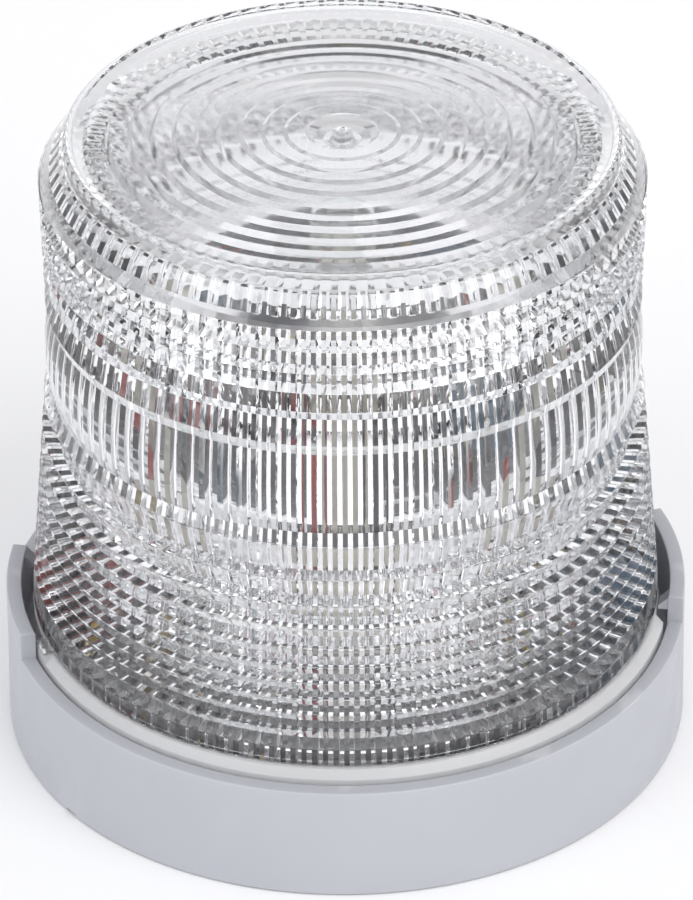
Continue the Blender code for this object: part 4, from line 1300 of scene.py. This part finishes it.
def make_horn():
    """Piezo horn under the board: cup, diaphragm, wafer and cap with its sound port."""
    x, y, _ = centre_of("horn_cup")
    low = FLOOR_Z + 0.3
    cup = [(0.0, 0.0), (14.6, 0.0), (15.0, 0.4), (15.0, 5.0), (14.8, 5.2), (13.7, 5.2)]
    cup += [(13.7, 3.0), (12.7, 3.0), (12.7, 1.2), (0.0, 1.2)]
    add("horn_cup_moulding", turned(lifted(cup, low), 120, (x, y), False), "black_plastic", "horn_cup")
    plate = [(0.0, 0.1), (4.0, 0.0), (8.0, 0.06), (9.4, 0.0), (10.2, 0.08), (13.3, 0.0)]
    plate += [(13.3, 0.2), (10.2, 0.28), (9.4, 0.2), (8.0, 0.26), (0.0, 0.3)]
    disc = turned(lifted(plate, low + 3.3), 120, (x, y), False)
    add("horn_diaphragm_disc", disc, "brass", "horn_diaphragm")
    chip = [(0.0, 0.0), (7.9, 0.0), (8.0, 0.1), (8.0, 0.3), (7.9, 0.4), (0.0, 0.4)]
    wafer = turned(lifted(chip, low + 3.8), 96, (x, y), False)
    add("horn_piezo_wafer", wafer, "piezo_ceramic", "horn_piezo_element")
    cap = [(2.5, 0.0), (15.0, 0.0), (15.0, 1.0), (14.8, 1.2), (6.0, 1.2), (4.4, 1.4)]
    cap += [(4.2, 1.9), (4.0, 2.0), (2.7, 2.0), (2.5, 1.8)]
    add("horn_cap_moulding", turned(lifted(cap, low + 5.5), 120, (x, y)), "black_plastic", "horn_cap")


def make_selector():
    """Slide switch: its case and the ribbed slider."""
    add_refined("selector_switch", "selector_case", "black_plastic", 0.2)
    centre, size = centre_of("selector_knob"), size_of("selector_knob")
    knob = block((size.x, size.y, size.z - 0.5), (centre.x, centre.y, centre.z - 0.25), 0.0, 0.15)
    for k in range(4):
        x = centre.x + (k - 1.5) * 0.85
        block((0.45, size.y - 0.2, 0.6), (x, centre.y, centre.z + size.z / 2 - 0.3), 0.0, 0.12, knob)
    add("selector_slider", knob, "white_plastic", "selector_knob", body="selector")


# --- Camera, floor and light ---


def make_camera():
    """The photographer's stand, in metres and radians, from the ellipses of the lens and base."""
    distance = 1.18739
    elevation = 0.61412
    pitch = -0.04033
    yaw = 0.000356
    roll = -0.00733
    level, drop = math.cos(elevation + pitch), math.sin(elevation + pitch)
    look = Vector((math.sin(yaw) * level, math.cos(yaw) * level, -drop))
    right = look.cross(up(1.0)).normalized()
    above = right.cross(look)
    tilted_right = right * math.cos(roll) + above * math.sin(roll)
    tilted_up = above * math.cos(roll) - right * math.sin(roll)
    camera = bpy.data.objects.new("camera", bpy.data.cameras.new("camera"))
    camera.data.lens = 240.0
    camera.data.clip_start = 0.05
    camera.data.clip_end = 20.0
    turn = Matrix((tilted_right, tilted_up, -look)).transposed().to_4x4()
    stand = Vector((0.0, -distance * math.cos(elevation), distance * math.sin(elevation)))
    camera.matrix_world = Matrix.Translation(stand) @ turn
    bpy.context.scene.collection.objects.link(camera)
    bpy.context.scene.camera = camera


def make_floor():
    mesh = bmesh.new()
    bmesh.ops.create_grid(mesh, x_segments=1, y_segments=1, size=FLOOR_SIZE)
    paint = Surface("floor", Base_Color=(0.93, 0.93, 0.935), Roughness=0.9)
    floor = place("floor", mesh, paint.material)
    floor.location.z = -0.0002


def make_light(name, stand, width, energy, colour):
    lamp = bpy.data.lights.new(name, "AREA")
    lamp.shape = "DISK"
    lamp.size = width
    lamp.energy = energy
    lamp.color = colour
    made = bpy.data.objects.new(name, lamp)
    made.location = stand
    made.rotation_euler = (Vector(LIGHT_AIM) - Vector(stand)).to_track_quat("-Z", "Y").to_euler()
    bpy.context.scene.collection.objects.link(made)


def make_light_setup():
    """A white room that dims a little behind the object, a large key light and a weak fill."""
    scene = bpy.context.scene
    scene.world = scene.world or bpy.data.worlds.new("studio")
    scene.world.use_nodes = True
    tree = scene.world.node_tree
    background = tree.nodes["Background"]
    background.inputs["Color"].default_value = (0.98, 0.98, 1.0, 1.0)
    split = tree.nodes.new("ShaderNodeSeparateXYZ")
    tree.links.new(tree.nodes.new("ShaderNodeTexCoord").outputs["Generated"], split.inputs["Vector"])
    fade = tree.nodes.new("ShaderNodeMapRange")
    for key, value in {"From Min": 0.5, "To Min": ROOM_LIGHT, "To Max": BACK_LIGHT}.items():
        fade.inputs[key].default_value = value
    tree.links.new(split.outputs["Y"], fade.inputs["Value"])
    tree.links.new(fade.outputs["Result"], background.inputs["Strength"])
    make_light("key", (0.8, -0.9, 1.2), 1.5, 10.0, (1.0, 0.99, 0.97))
    make_light("fill", (-1.1, -0.9, 0.9), 0.9, 3.5, (0.94, 0.97, 1.0))
    scene.view_settings.view_transform = "Standard"
    scene.cycles.max_bounces = 32
    scene.cycles.transmission_bounces = 28
    scene.cycles.transparent_max_bounces = 16
    scene.cycles.glossy_bounces = 8
    scene.cycles.diffuse_bounces = 5


# --- Building ---


make_camera()
finishes = {
    "grey_plastic": moulded("grey_plastic", (0.47, 0.48, 0.52)),
    "clear_polycarbonate": clear_plastic(),
    "clear_glass": clear_glass(),
    "black_plastic": moulded("black_plastic", (0.03, 0.03, 0.035), 0.48, shift=0.2, edge_highlight_and_wear=0.08),
    "black_rubber": rubber("black_rubber", (0.035, 0.035, 0.037)),
    "white_silicone": rubber("white_silicone", (0.84, 0.84, 0.82), 0.5),
    "grey_foam": foam(),
    "board_laminate": solder_mask(),
    "plated_steel": metal("plated_steel", (0.72, 0.72, 0.70), 0.28),
    "aluminium": metal("aluminium", (0.66, 0.67, 0.69), 0.38, (1.0, 1.0, 0.05)),
    "brass": metal("brass", (0.75, 0.58, 0.28), 0.3),
    "blue_sleeve": lacquer("blue_sleeve", (0.015, 0.08, 0.15), 0.3),
    "red_epoxy": lacquer("red_epoxy", (0.38, 0.04, 0.04), 0.3, 8.0),
    "ferrite": ceramic("ferrite", (0.07, 0.07, 0.075)),
    "yellow_tape": lacquer("yellow_tape", (0.72, 0.52, 0.10), 0.35),
    "cream_ceramic": ceramic("cream_ceramic", (0.80, 0.76, 0.66)),
    "white_plastic": moulded("white_plastic", (0.85, 0.85, 0.83), 0.4),
    "piezo_ceramic": ceramic("piezo_ceramic", (0.78, 0.78, 0.74), 0.2),
    "red_sleeve": lacquer("red_sleeve", (0.50, 0.02, 0.02), 0.4),
    "black_sleeve": lacquer("black_sleeve", (0.03, 0.03, 0.04), 0.45),
}
slot_of = {row["node"]: row["material_slot"] for row in frame["record"]["subparts"]}
for node, shown in frame["nodes"].items():
    shown.data.materials.clear()
    shown.data.materials.append(finishes[slot_of[node]])

make_lens()
make_base()
make_seals()
make_board()
make_tracks()
make_solder()
make_print()
make_resistors()
make_disc_capacitors()
make_screws()
make_storage_capacitor()
dipped("film_capacitor", "dipped_capacitor", "red_epoxy", 2.4, ((-42.0, 15.5), (-42.0, 2.5)))
dipped("filter_capacitor", "filter_can", "ferrite", 1.4, ((-27.0, 11.0), (-27.0, 1.0)))
make_trigger_coil()
make_inverter_transformer()
make_flasher_chip()
make_power_stage()
make_terminals()
make_diode()
make_fuse()
make_tube_post()
make_flash_tube()
make_tube_leads()
make_horn()
make_selector()
make_floor()
make_light_setup()
